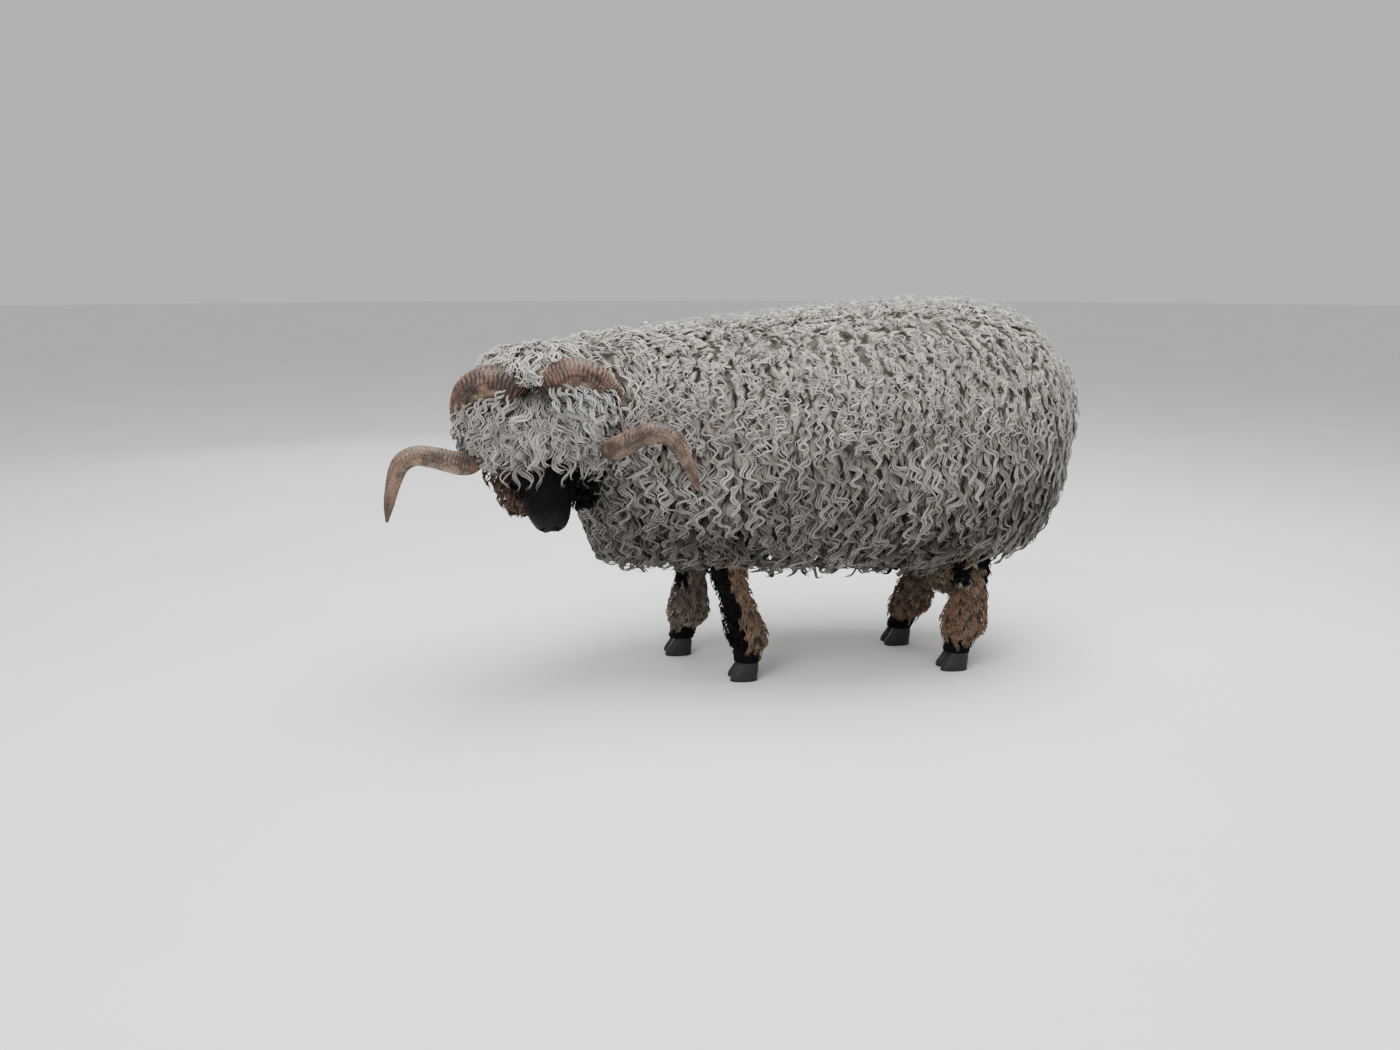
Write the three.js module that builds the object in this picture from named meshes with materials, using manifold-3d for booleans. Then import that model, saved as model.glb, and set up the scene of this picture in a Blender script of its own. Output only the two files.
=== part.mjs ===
// A Valais Blacknose ram, life size, standing with its head lowered and turned to its left.
// Millimetres, +Z up. The ram faces -Y and its left side is +X. The floor is z = 0.
// Each solid is the true outer shape of its part, out to the tips of the wool.

import * as THREE from "three";
import { mergeVertices } from "three/addons/utils/BufferGeometryUtils.js";
import Module from "manifold-3d";

const wasm = await Module();
wasm.setup();

// Driving dimensions, in millimetres
const GAP = 0.4; // clear space between touching pieces
const BACK_HEIGHT = 865; // top of the wool over the back
const BELLY_HEIGHT = 262; // lowest wool under the belly
const TRUNK_HALF_WIDTH = 288; // at the widest place, over the wool
const CURL_DEPTH = 4; // how far the clumps of locks swell and dip
const HEAD_AT = [205, -652, 735]; // the poll, between the horns
const NOSE_WAY = [0.3, 0.06, -0.952]; // from the poll to the muzzle
const HEAD_RIGHT = [-0.1, -0.99, -0.098]; // from the left ear to the right ear
const EYE_RADIUS = 15;
const LEG_SPREAD = 98; // from the middle plane to a foot
const CLAW_HEIGHT = 46;

// Colours of the real coat, horn and hoof
const CREAM_WOOL = { color: 0xcabfa8, roughness: 0.95, metalness: 0 };
const BLACK_COAT = { color: 0x16120f, roughness: 0.9, metalness: 0 };
const BROWN_WOOL = { color: 0x6e5240, roughness: 0.95, metalness: 0 };
const HORN = { color: 0x96704f, roughness: 0.6, metalness: 0 };
const HOOF = { color: 0x2b2521, roughness: 0.55, metalness: 0 };
const EYE = { color: 0x2a1a0d, roughness: 0.15, metalness: 0 };

// Lofting and cutting

// One station of a loft: its middle, half width, height above and below the middle, and squareness.
const station = (at, half, above, below, square = 2.2) => ({ at, half, above, below, square });

// A smooth curve through one vector of every station.
function curveOf(stations, pick) {
  const points = stations.map((s) => new THREE.Vector3(...pick(s)));
  return new THREE.CatmullRomCurve3(points, false, "catmullrom", 0.5);
}

// A superellipse's cosine or sine: power 2 / square keeps its sign.
const squared = (value, square) => Math.sign(value) * Math.abs(value) ** (2 / square);

// A closed tube through the stations. Its section is a superellipse whose upper and lower halves
// may differ. Sections stand square to the path, or to one way for all of them.
// A length from one ring to another is cut flat.
function loft(stations, options) {
  const { rings, sides, up, way, from = 0, to = rings, grow = 0, swell = () => 0 } = options;
  const path = curveOf(stations, (s) => s.at);
  const size = curveOf(stations, (s) => [s.half, s.above, s.below]);
  const shape = curveOf(stations, (s) => [s.square, 0, 0]);
  const hint = new THREE.Vector3(...up);
  const position = [];
  const middles = [];
  for (let i = from; i <= to; i++) {
    const t = i / rings;
    const middle = path.getPoint(t);
    const tangent = way ? new THREE.Vector3(...way) : path.getTangent(t);
    const side = tangent.clone().cross(hint).normalize();
    const top = side.clone().cross(tangent).normalize();
    const [half, above, below] = size.getPoint(t).toArray();
    const square = shape.getPoint(t).x;
    if (i === from) middle.addScaledVector(tangent, from > 0 ? GAP / 2 : -grow);
    if (i === to) middle.addScaledVector(tangent, to < rings ? -GAP / 2 : grow);
    middles.push(middle);
    for (let j = 0; j < sides; j++) {
      const angle = (2 * Math.PI * j) / sides;
      const more = grow + swell(t, angle);
      const across = (half + more) * squared(Math.cos(angle), square);
      const height = (Math.sin(angle) > 0 ? above : below) + more;
      const point = middle.clone().addScaledVector(side, across);
      point.addScaledVector(top, height * squared(Math.sin(angle), square));
      position.push(...point.toArray());
    }
  }
  const spans = to - from;
  const ends = position.length / 3;
  position.push(...middles[0].toArray(), ...middles[spans].toArray());
  const index = [];
  for (let j = 0; j < sides; j++) {
    const next = (j + 1) % sides;
    for (let i = 0; i < spans; i++) {
      const [a, b] = [i * sides + j, (i + 1) * sides + j];
      const [c, d] = [(i + 1) * sides + next, i * sides + next];
      index.push(a, b, c, a, c, d);
    }
    index.push(ends, j, next);
    index.push(ends + 1, spans * sides + next, spans * sides + j);
  }
  return new THREE.BufferGeometry()
    .setAttribute("position", new THREE.Float32BufferAttribute(position, 3))
    .setIndex(index);
}

// A closed geometry as a solid that can be cut.
function solidOf(geometry) {
  const bare = geometry.clone().deleteAttribute("normal").deleteAttribute("uv");
  const merged = mergeVertices(bare, 1e-3);
  return new wasm.Manifold(
    new wasm.Mesh({
      numProp: 3,
      vertProperties: merged.attributes.position.array,
      triVerts: new Uint32Array(merged.index.array),
    }),
  );
}

const tube = (stations, options) => solidOf(loft(stations, options));

// The solid less all the cutters; of what is left, its largest body.
function cut(solid, ...cutters) {
  const left = cutters.reduce((rest, cutter) => rest.subtract(cutter), solid);
  return left.decompose().sort((a, b) => b.volume() - a.volume())[0];
}

// A named mesh of a solid.
function piece(name, solid, look) {
  const { numProp, vertProperties, triVerts } = solid.getMesh();
  const position = new Float32Array((vertProperties.length / numProp) * 3);
  for (let i = 0; i * numProp < vertProperties.length; i++)
    position.set(vertProperties.subarray(i * numProp, i * numProp + 3), i * 3);
  const geometry = new THREE.BufferGeometry()
    .setAttribute("position", new THREE.BufferAttribute(position, 3))
    .setIndex(new THREE.BufferAttribute(triVerts, 1));
  geometry.computeVertexNormals();
  const mesh = new THREE.Mesh(geometry, new THREE.MeshStandardMaterial(look));
  mesh.name = name;
  return mesh;
}

// Clumps of locks on the fleece: low waves that run round and along the form.
const clumps = (t, angle) =>
  CURL_DEPTH * Math.sin(7 * angle + 9 * t) * Math.cos(5 * angle - 31 * t);

// Trunk: rump, barrel and shoulders are lengths of one form

const TRUNK_MIDDLE = 538;
const trunkAbove = BACK_HEIGHT - TRUNK_MIDDLE;
const trunkBelow = TRUNK_MIDDLE - BELLY_HEIGHT;
const trunkStation = (y, lift, half, above, below) =>
  station(
    [0, y, TRUNK_MIDDLE + lift],
    TRUNK_HALF_WIDTH * half,
    trunkAbove * above,
    trunkBelow * below,
    2.3,
  );
const TRUNK = [
  trunkStation(600, 50, 0.14, 0.16, 0.24),
  trunkStation(588, 45, 0.38, 0.36, 0.52),
  trunkStation(550, 35, 0.62, 0.62, 0.84),
  trunkStation(480, 22, 0.8, 0.86, 1.02),
  trunkStation(370, 7, 0.92, 1, 1.07),
  trunkStation(220, 2, 0.98, 1.03, 1.09),
  trunkStation(50, 0, 1, 1.0, 1.06),
  trunkStation(-110, -4, 0.97, 0.96, 1.02),
  trunkStation(-250, -2, 0.9, 0.91, 1),
  trunkStation(-370, 5, 0.8, 0.83, 1),
  trunkStation(-460, 0, 0.68, 0.68, 0.96),
  trunkStation(-520, -10, 0.5, 0.5, 0.82),
  trunkStation(-548, -20, 0.26, 0.28, 0.5),
];
const TRUNK_RINGS = 24;
const RUMP_ENDS = 9; // counted in rings, from the tail
const SHOULDERS_START = 15;

const trunk = (options) =>
  tube(TRUNK, {
    rings: TRUNK_RINGS,
    sides: 22,
    up: [0, 0, 1],
    way: [0, -1, 0],
    swell: clumps,
    ...options,
  });
const trunkCutter = trunk({ grow: GAP });

// Neck: bends to the left as it comes forward, and ends inside the head

const NECK = [
  station([0, -250, 600], 180, 225, 230),
  station([12, -350, 612], 178, 212, 230),
  station([35, -450, 630], 165, 188, 215),
  station([75, -540, 650], 146, 158, 190),
  station([120, -605, 672], 122, 126, 158),
  station([155, -648, 690], 92, 88, 118),
  station([172, -668, 698], 50, 46, 62),
];
const NECK_WAY = [0.42, -0.9, 0.12];
const neck = (grow) =>
  tube(NECK, { rings: 10, sides: 16, up: [0, 0, 1], way: NECK_WAY, swell: clumps, grow });

// Head: its own frame has x to the right ear, y along the nose and z out of the forehead

const headFrame = new THREE.Matrix4();
const noseWay = new THREE.Vector3(...NOSE_WAY).normalize();
const browWay = new THREE.Vector3(...HEAD_RIGHT).cross(noseWay).normalize();
const rightWay = noseWay.clone().cross(browWay);
headFrame.makeBasis(rightWay, noseWay, browWay).setPosition(...HEAD_AT);
const toHead = headFrame.clone().invert();
const inWorld = (solid) => solid.transform(headFrame.elements);
const inHead = (solid) => solid.transform(toHead.elements);

const HEAD = [
  station([0, -38, -62], 22, 20, 24),
  station([0, -28, -62], 48, 44, 50),
  station([0, -5, -65], 67, 62, 70),
  station([0, 40, -68], 77, 72, 82),
  station([0, 90, -72], 83, 79, 88),
  station([0, 135, -74], 79, 80, 84),
  station([0, 182, -72], 67, 72, 68),
  station([0, 224, -72], 54, 62, 52),
  station([0, 262, -74], 46, 53, 42),
  station([0, 290, -78], 40, 43, 34),
  station([0, 311, -84], 29, 28, 25),
  station([0, 322, -88], 13, 13, 11),
];
const HEAD_RINGS = 20;
const MUZZLE_STARTS = 12; // counted in rings, from the nape
const headForm = (options) =>
  tube(HEAD, {
    rings: HEAD_RINGS,
    sides: 16,
    up: [0, 0, 1],
    way: [0, 1, 0],
    ...options,
  });
const headCutter = headForm({ grow: GAP });

// Eyes: slightly flattened balls in sockets under the brow

const EYE_AT = [64, 122, -38];
function eye(side, grow) {
  const ball = new THREE.SphereGeometry(EYE_RADIUS + grow, 10, 6);
  return solidOf(ball.translate(side * EYE_AT[0], EYE_AT[1], EYE_AT[2]));
}

// Horns: a corkscrew that leaves the poll sideways, turns down behind the ear,
// comes forward beside the cheek and runs out to a tip that points down the face

const HORN_PATH = [
  station([34, 32, -14], 37, 28, 28),
  station([52, 22, 12], 38, 29, 29),
  station([85, 14, 28], 37, 29, 28),
  station([122, 22, 14], 35, 28, 27),
  station([147, 46, -24], 33, 27, 26),
  station([154, 85, -56], 31, 26, 25),
  station([148, 128, -62], 29, 25, 24),
  station([147, 160, -36], 27, 24, 23),
  station([166, 168, 2], 25, 23, 22),
  station([205, 157, 28], 23, 22, 21),
  station([245, 150, 38], 22, 21, 20),
  station([277, 165, 36], 20, 19, 18),
  station([298, 204, 26], 16, 15, 14),
  station([313, 244, 14], 11, 10, 9),
  station([322, 276, 6], 3, 3, 3),
];
const HORN_ROOM = 2.5; // between a horn and the wool that parts round it

// The same stations on the ram's right or left.
const mirrored = (stations, side) =>
  stations.map((s) => ({ ...s, at: [side * s.at[0], s.at[1], s.at[2]] }));
const horn = (side, grow) =>
  tube(mirrored(HORN_PATH, side), { rings: 28, sides: 8, up: [0, 0.25, 1], grow });

// Ears: flat leaves that reach out through the curl of the horns

const EAR = [
  station([52, 62, -62], 16, 12, 12),
  station([76, 72, -56], 24, 11, 11),
  station([100, 82, -46], 27, 9, 9),
  station([122, 92, -34], 24, 7, 7),
  station([142, 102, -22], 16, 5, 5),
  station([154, 108, -14], 5, 3, 3),
];
const ear = (side, grow) =>
  tube(mirrored(EAR, side), { rings: 7, sides: 8, up: [0.3 * side, -0.35, 1], grow });

// Wool of the head: the topknot over brow and face, the tuft behind the horns, and the cheeks

const TOPKNOT = [
  station([0, 32, -8], 44, 30, 30),
  station([0, 48, -14], 98, 46, 46),
  station([0, 75, -20], 138, 56, 52),
  station([0, 110, -26], 156, 60, 54),
  station([0, 145, -30], 150, 56, 50),
  station([0, 172, -32], 112, 50, 42),
  station([0, 192, -34], 70, 42, 30),
  station([0, 204, -35], 28, 30, 20),
];
const WOOL_LOFT = { up: [0, 0, 1], way: [0, 1, 0], swell: clumps };
const topknotForm = (grow) => tube(TOPKNOT, { ...WOOL_LOFT, rings: 9, sides: 14, grow });

const POLL_TUFT = [
  station([0, -76, -42], 34, 16, 16),
  station([0, -68, -40], 74, 36, 30),
  station([0, -42, -32], 104, 50, 44),
  station([0, -6, -22], 106, 52, 44),
  station([0, 20, -18], 60, 40, 34),
];
const pollForm = (grow) => tube(POLL_TUFT, { ...WOOL_LOFT, rings: 7, sides: 14, grow });

const CHEEK = [
  station([72, 84, -104], 20, 24, 24),
  station([78, 108, -108], 29, 36, 34),
  station([77, 145, -112], 31, 38, 36),
  station([71, 182, -114], 26, 32, 30),
  station([62, 216, -114], 16, 20, 20),
  station([57, 236, -114], 5, 6, 6),
];
const cheekForm = (side) => tube(mirrored(CHEEK, side), { ...WOOL_LOFT, rings: 8, sides: 10 });

// Legs: each is one form from the body wool to the pastern, parted above and below the knee
// or hock and above the pastern. A stride slides the foot along the floor.

const LEG_TOP = 440;
const legStation = (y, z, half, front, back) => station([LEG_SPREAD, y, z], half, front, back);
const FORE_LEG = [
  legStation(-258, LEG_TOP, 64, 78, 82),
  legStation(-262, 360, 60, 64, 68),
  legStation(-264, 300, 53, 54, 57),
  legStation(-266, 262, 45, 47, 46),
  legStation(-266, 232, 43, 45, 42),
  legStation(-264, 204, 42, 41, 42),
  legStation(-263, 160, 46, 44, 47),
  legStation(-262, 118, 53, 50, 55),
  legStation(-263, 90, 47, 46, 48),
  legStation(-266, 72, 35, 36, 36),
  legStation(-272, 46, 33, 35, 34),
];
const HIND_LEG = [
  legStation(300, LEG_TOP, 96, 120, 112),
  legStation(318, 372, 76, 84, 86),
  legStation(338, 318, 60, 60, 60),
  legStation(352, 280, 48, 49, 48),
  legStation(356, 246, 43, 42, 46),
  legStation(350, 212, 42, 41, 44),
  legStation(338, 164, 46, 44, 47),
  legStation(328, 118, 53, 50, 55),
  legStation(322, 90, 47, 46, 48),
  legStation(316, 72, 35, 36, 36),
  legStation(308, 46, 33, 35, 34),
];
const LEG_RINGS = 15;
const LEG_LOFT = { rings: LEG_RINGS, sides: 10, up: [0, -1, 0], way: [0, 0, -1] };
// The rings at which a leg is parted: above the joint, below it, above the pastern.
const PARTINGS = [4, 8, 12];
const LEGS = [
  { name: "fore_left", form: FORE_LEG, side: 1, stride: 112, joint: "knee", upper: "forearm" },
  { name: "fore_right", form: FORE_LEG, side: -1, stride: -38, joint: "knee", upper: "forearm" },
  { name: "hind_left", form: HIND_LEG, side: 1, stride: 45, joint: "hock", upper: "thigh" },
  { name: "hind_right", form: HIND_LEG, side: -1, stride: -45, joint: "hock", upper: "thigh" },
];
const CLAW_APART = 17; // from the foot's middle to a claw's middle

// The leg's stations on its side, slid by its stride in proportion to the drop below the body.
const strode = ({ form, side, stride }) =>
  mirrored(form, side).map((s) => {
    const [x, y, z] = s.at;
    return { ...s, at: [x, y + stride * (1 - z / LEG_TOP), z] };
  });

// One claw: a flat sole that is longest in front, and walls that lean back to the pastern.
const clawStations = (x, y) => [
  station([x, y + 5, CLAW_HEIGHT - GAP], 13.5, 22, 24, 2.2),
  station([x, y + 3, 30], 14.5, 28, 26, 2.3),
  station([x, y, 12], 15.5, 37, 27, 2.4),
  station([x, y, 0], 15.5, 40, 27, 2.4),
];
const CLAW_LOFT = { rings: 3, sides: 10, up: [0, -1, 0], way: [0, 0, -1] };

function leg(options) {
  const { name, side, joint, upper } = options;
  const stations = strode(options);
  const [aboveJoint, belowJoint, aboveFoot] = PARTINGS;
  const length = (from, to) => tube(stations, { ...LEG_LOFT, from, to });
  const foot = stations[stations.length - 1].at;
  const group = new THREE.Group();
  group.add(
    piece(`${name}_${upper}`, length(0, aboveJoint), CREAM_WOOL),
    piece(`${name}_${joint}`, length(aboveJoint, belowJoint), BLACK_COAT),
    piece(`${name}_cannon`, length(belowJoint, aboveFoot), CREAM_WOOL),
    piece(`${name}_pastern`, length(aboveFoot, LEG_RINGS), BLACK_COAT),
  );
  for (const [place, way] of [["inner", -1], ["outer", 1]]) {
    const x = foot[0] + side * way * CLAW_APART;
    const claw = tube(clawStations(x, foot[1] - 6), CLAW_LOFT);
    group.add(piece(`${name}_claw_${place}`, claw, HOOF));
  }
  return group;
}

// Tail and scrotum

const TAIL = [
  station([0, 560, 742], 34, 26, 26),
  station([0, 592, 715], 42, 30, 30),
  station([0, 616, 660], 44, 30, 30),
  station([0, 624, 590], 42, 28, 28),
  station([0, 620, 520], 36, 24, 24),
  station([0, 612, 465], 24, 17, 17),
  station([0, 606, 438], 8, 7, 7),
];
const tail = tube(TAIL, { rings: 9, sides: 10, up: [0, 1, 0], swell: clumps });

const SCROTUM = [
  station([0, 352, 330], 40, 36, 36),
  station([0, 356, 290], 52, 44, 44),
  station([0, 358, 240], 62, 52, 52),
  station([0, 358, 195], 56, 48, 48),
  station([0, 356, 168], 32, 28, 28),
  station([0, 356, 160], 10, 9, 9),
];
const scrotum = tube(SCROTUM, { rings: 8, sides: 12, up: [0, -1, 0], way: [0, 0, -1] });

// The ram

const hornCutters = [horn(1, HORN_ROOM), horn(-1, HORN_ROOM)];
const earCutters = [ear(1, GAP), ear(-1, GAP)];
const eyeCutters = [eye(1, GAP), eye(-1, GAP)];
const neckCutter = neck(GAP);
const headBeside = [headCutter, ...hornCutters, ...earCutters, ...eyeCutters];
const topknotCutter = topknotForm(GAP);

const head = new THREE.Group();
head.applyMatrix4(headFrame);
const topknot = cut(topknotForm(0), ...headBeside);
const pollTuft = cut(pollForm(0), ...headBeside, topknotCutter, inHead(neckCutter));
head.add(
  piece("head", cut(headForm({ to: MUZZLE_STARTS }), ...eyeCutters), BLACK_COAT),
  piece("muzzle", headForm({ from: MUZZLE_STARTS }), BLACK_COAT),
  piece("topknot", topknot, CREAM_WOOL),
  piece("poll_tuft", pollTuft, CREAM_WOOL),
);
for (const [place, side] of [["left", -1], ["right", 1]]) {
  const cheek = cut(cheekForm(side), ...headBeside, topknotCutter, inHead(neckCutter));
  head.add(
    piece(`horn_${place}`, cut(horn(side, 0), headCutter), HORN),
    piece(`ear_${place}`, cut(ear(side, 0), headCutter, ...hornCutters), BLACK_COAT),
    piece(`eye_${place}`, eye(side, 0), EYE),
    piece(`cheek_wool_${place}`, cheek, BROWN_WOOL),
  );
}

const neckBeside = [trunkCutter, ...[...headBeside, topknotCutter].map(inWorld)];
const legCutters = LEGS.map((each) => tube(strode(each), { ...LEG_LOFT, grow: GAP }));
const hornRoom = hornCutters.map(inWorld);
const trunkLength = (from, to) => cut(trunk({ from, to }), ...legCutters, ...hornRoom);

const ram = new THREE.Group();
ram.add(
  head,
  piece("rump", trunkLength(0, RUMP_ENDS), CREAM_WOOL),
  piece("barrel", trunkLength(RUMP_ENDS, SHOULDERS_START), CREAM_WOOL),
  piece("shoulders", trunkLength(SHOULDERS_START, TRUNK_RINGS), CREAM_WOOL),
  piece("neck", cut(neck(0), ...neckBeside), CREAM_WOOL),
  piece("tail", cut(tail, trunkCutter), CREAM_WOOL),
  piece("scrotum", cut(scrotum, trunkCutter, ...legCutters), CREAM_WOOL),
  ...LEGS.map(leg),
);

// The origin is on the floor, under the middle of the whole outline.
const outline = new THREE.Box3().setFromObject(ram, true);
const middle = outline.getCenter(new THREE.Vector3());
ram.position.set(-middle.x, -middle.y, 0);

export default ram;
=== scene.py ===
# %% [markdown]
# # A Valais Blacknose ram, life size
#
# The breed is known for three things: a long cream fleece of spiral locks, a black nose, and black
# ears, knees and feet. This script dresses a measured frame of the ram in skin, horn, hoof and wool.
#
# The fleece is what makes it hard. Hair particles would be quick, but they are no mesh, so other
# programs can't read them. Here every lock is a thin closed tube of its own, worked out with numpy.

import bpy
import numpy as np
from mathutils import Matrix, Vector


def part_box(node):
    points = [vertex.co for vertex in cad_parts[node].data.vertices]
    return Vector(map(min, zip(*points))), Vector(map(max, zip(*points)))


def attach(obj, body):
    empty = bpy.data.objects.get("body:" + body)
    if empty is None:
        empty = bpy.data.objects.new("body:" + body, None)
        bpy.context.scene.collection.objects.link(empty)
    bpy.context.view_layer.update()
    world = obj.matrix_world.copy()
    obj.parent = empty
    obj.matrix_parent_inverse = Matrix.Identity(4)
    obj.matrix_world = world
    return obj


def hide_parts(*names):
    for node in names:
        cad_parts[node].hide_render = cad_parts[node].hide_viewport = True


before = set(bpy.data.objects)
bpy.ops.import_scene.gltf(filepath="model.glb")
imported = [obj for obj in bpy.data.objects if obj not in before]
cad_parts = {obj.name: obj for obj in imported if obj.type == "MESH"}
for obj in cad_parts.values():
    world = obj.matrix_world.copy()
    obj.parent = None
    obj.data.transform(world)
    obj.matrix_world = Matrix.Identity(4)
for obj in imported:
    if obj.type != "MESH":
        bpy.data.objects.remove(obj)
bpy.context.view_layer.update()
MM = 0.001

# %% [markdown]
# ## Forms
#
# Each part of the body is a tube through a few stations: a middle, a half width, a height above and
# below, and a squareness. The fleece's outline, the skin and the lie of the wool all come from the
# same few numbers, so they always agree. Sculpting by hand could look as good, but it couldn't tell
# ten thousand locks where they grow.

# %% Curves through stations
def spline(table, t, slope=False):
    """A smooth curve through the rows of table at t from 0 to 1. Between two rows it is the cubic
    whose slope at each row is half the step from the row before to the row after."""
    table = np.asarray(table, float)
    spans = len(table) - 1
    rows = np.vstack([2 * table[0] - table[1], table, 2 * table[-1] - table[-2]])
    place = np.clip(t, 0, 1) * spans
    i = np.minimum(place.astype(int), spans - 1)
    u = (place - i)[..., None]
    a, b, c, d = (rows[i + k] for k in range(4))
    if slope:
        return ((c - a) + 2 * (2 * a - 5 * b + 4 * c - d) * u + 3 * (3 * (b - c) + d - a) * u**2) / 2
    return (2 * b + (c - a) * u + (2 * a - 5 * b + 4 * c - d) * u**2 + (3 * (b - c) + d - a) * u**3) / 2


def unit(v):
    """Each vector divided by its own length."""
    v = np.asarray(v, float)
    return v / np.maximum(np.linalg.norm(v, axis=-1, keepdims=True), 1e-12)


def dot(a, b):
    """The sum of the products of the parts, kept as a column."""
    return np.sum(a * b, axis=-1, keepdims=True)


def smooth(low, high, x):
    """0 below low, 1 above high, and 3s^2 - 2s^3 between."""
    s = np.clip((x - low) / (high - low), 0, 1)
    return s * s * (3 - 2 * s)


# %% A form: points on, above and inside a tube
SQUARE = 2.2  # how square a section is, unless its station says: 2 is an ellipse, more is squarer
SAMPLES = 120  # places along a form where a point's nearness is measured


class Form:
    """A tube through stations (x, y, z, half, above, below, square) in millimetres. Its section is
    a superellipse, |across / half|^square + |up / height|^square = 1."""

    def __init__(self, stations, up, way=None, place=None, stride=None):
        rows = np.array([s if len(s) == 7 else (*s, SQUARE) for s in stations], float)
        rows[:, :6] *= MM
        if stride is not None:
            rows[:, 1] += stride * MM * (1 - rows[:, 2] / (LEG_TOP * MM))
        self.rows, self.up, self.way = rows, np.array(up, float), way
        self.place = np.eye(4) if place is None else place

    def axes(self, t):
        """Along the path (or the form's one way, where it has one), across it, and up from it."""
        if self.way:
            along = np.broadcast_to(self.way, (*np.shape(t), 3))
        else:
            along = spline(self.rows, t, True)[..., :3]
        along = unit(along)
        across = unit(np.cross(along, self.up))
        return along, across, np.cross(across, along)

    def at(self, t, angle, more=0.0):
        """The point at t along the path and angle round it, more metres outside the outline:
        middle + across * half * cos^(2 / square) + up * height * sin^(2 / square)."""
        row = spline(self.rows, t)
        _, across, up = self.axes(t)
        power = 2 / row[..., 6:7]
        c, s = np.cos(angle)[..., None], np.sin(angle)[..., None]
        more = np.asarray(more, float)
        more = more[..., None] if more.ndim else more
        half = np.maximum(row[..., 3:4] + more, MM)
        high = np.maximum(np.where(s > 0, row[..., 4:5], row[..., 5:6]) + more, MM)
        point = row[..., :3] + across * half * np.sign(c) * np.abs(c) ** power
        point = point + up * high * np.sign(s) * np.abs(s) ** power
        return point @ self.place[:3, :3].T + self.place[:3, 3]

    def inside(self, points, more=0.0):
        """True where a point lies inside the outline moved out by more. A form with one way is cut
        across at the point; any other counts as balls of 0.9 of its half width along its path."""
        local = (points - self.place[:3, 3]) @ self.place[:3, :3]
        row = spline(self.rows, np.linspace(0, 1, SAMPLES))
        if not self.way:
            away = np.linalg.norm(local[:, None] - row[None, :, :3], axis=-1) - row[None, :, 3] * 0.9
            return away.min(1) < more
        way = unit(np.array(self.way, float))
        key = row[:, :3] @ way
        order = np.argsort(key)
        key, row = key[order], row[order]
        here = local @ way
        found = np.stack([np.interp(here, key, row[:, k]) for k in range(7)], -1)
        across = unit(np.cross(way, self.up))
        off = local - found[..., :3]
        a, b = off @ across, off @ np.cross(across, way)
        high = np.where(b > 0, found[..., 4], found[..., 5]) + more
        size = np.abs(a / (found[..., 3] + more)) ** SQUARE + np.abs(b / high) ** SQUARE
        return (size < 1) & (here > key[0] - more) & (here < key[-1] + more)


# %% [markdown]
# ## The ram's measures
#
# The body is one barrel, a neck that turns to the left, a tail and four short legs. These are the same
# stations as the solids of the frame, in millimetres. The skin lies inside them by the depth of the
# coat. Measures could be read off the frame's meshes instead, but a station says which part it shapes.

# %% Stations of trunk and neck
MIDDLE, TOP, LOW, WIDE = 538, 327, 276, 288  # the trunk's middle, its heights above and below that, half its width
TRUNK_SQUARE = 2.3


def trunk_station(y, lift, half, above, below):
    """A station of the trunk, given as shares of its greatest width and height."""
    return (0, y, MIDDLE + lift, WIDE * half, TOP * above, LOW * below, TRUNK_SQUARE)


TRUNK = [
    trunk_station(600, 50, 0.14, 0.16, 0.24),
    trunk_station(588, 45, 0.38, 0.36, 0.52),
    trunk_station(550, 35, 0.62, 0.62, 0.84),
    trunk_station(480, 22, 0.8, 0.86, 1.02),
    trunk_station(370, 7, 0.92, 1, 1.07),
    trunk_station(220, 2, 0.98, 1.03, 1.09),
    trunk_station(50, 0, 1, 1.0, 1.06),
    trunk_station(-110, -4, 0.97, 0.96, 1.02),
    trunk_station(-250, -2, 0.9, 0.91, 1),
    trunk_station(-370, 5, 0.8, 0.83, 1),
    trunk_station(-460, 0, 0.68, 0.68, 0.96),
    trunk_station(-520, -10, 0.5, 0.5, 0.82),
    trunk_station(-548, -20, 0.26, 0.28, 0.5),
]
NECK = [
    (0, -250, 600, 180, 225, 230),
    (12, -350, 612, 178, 212, 230),
    (35, -450, 630, 165, 188, 215),
    (75, -540, 650, 146, 158, 190),
    (120, -605, 672, 122, 126, 158),
    (155, -648, 690, 92, 88, 118),
    (172, -668, 698, 50, 46, 62),
]
NECK_WAY = (0.42, -0.9, 0.12)
print("stations: trunk", len(TRUNK), "neck", len(NECK))

# %% Stations of tail and scrotum
TAIL = [
    (0, 560, 742, 34, 26, 26),
    (0, 592, 715, 42, 30, 30),
    (0, 616, 660, 44, 30, 30),
    (0, 624, 590, 42, 28, 28),
    (0, 620, 520, 36, 24, 24),
    (0, 612, 465, 24, 17, 17),
    (0, 606, 438, 8, 7, 7),
]
SCROTUM = [
    (0, 352, 330, 40, 36, 36),
    (0, 356, 290, 52, 44, 44),
    (0, 358, 240, 62, 52, 52),
    (0, 358, 195, 56, 48, 48),
    (0, 356, 168, 32, 28, 28),
    (0, 356, 160, 10, 9, 9),
]

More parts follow.
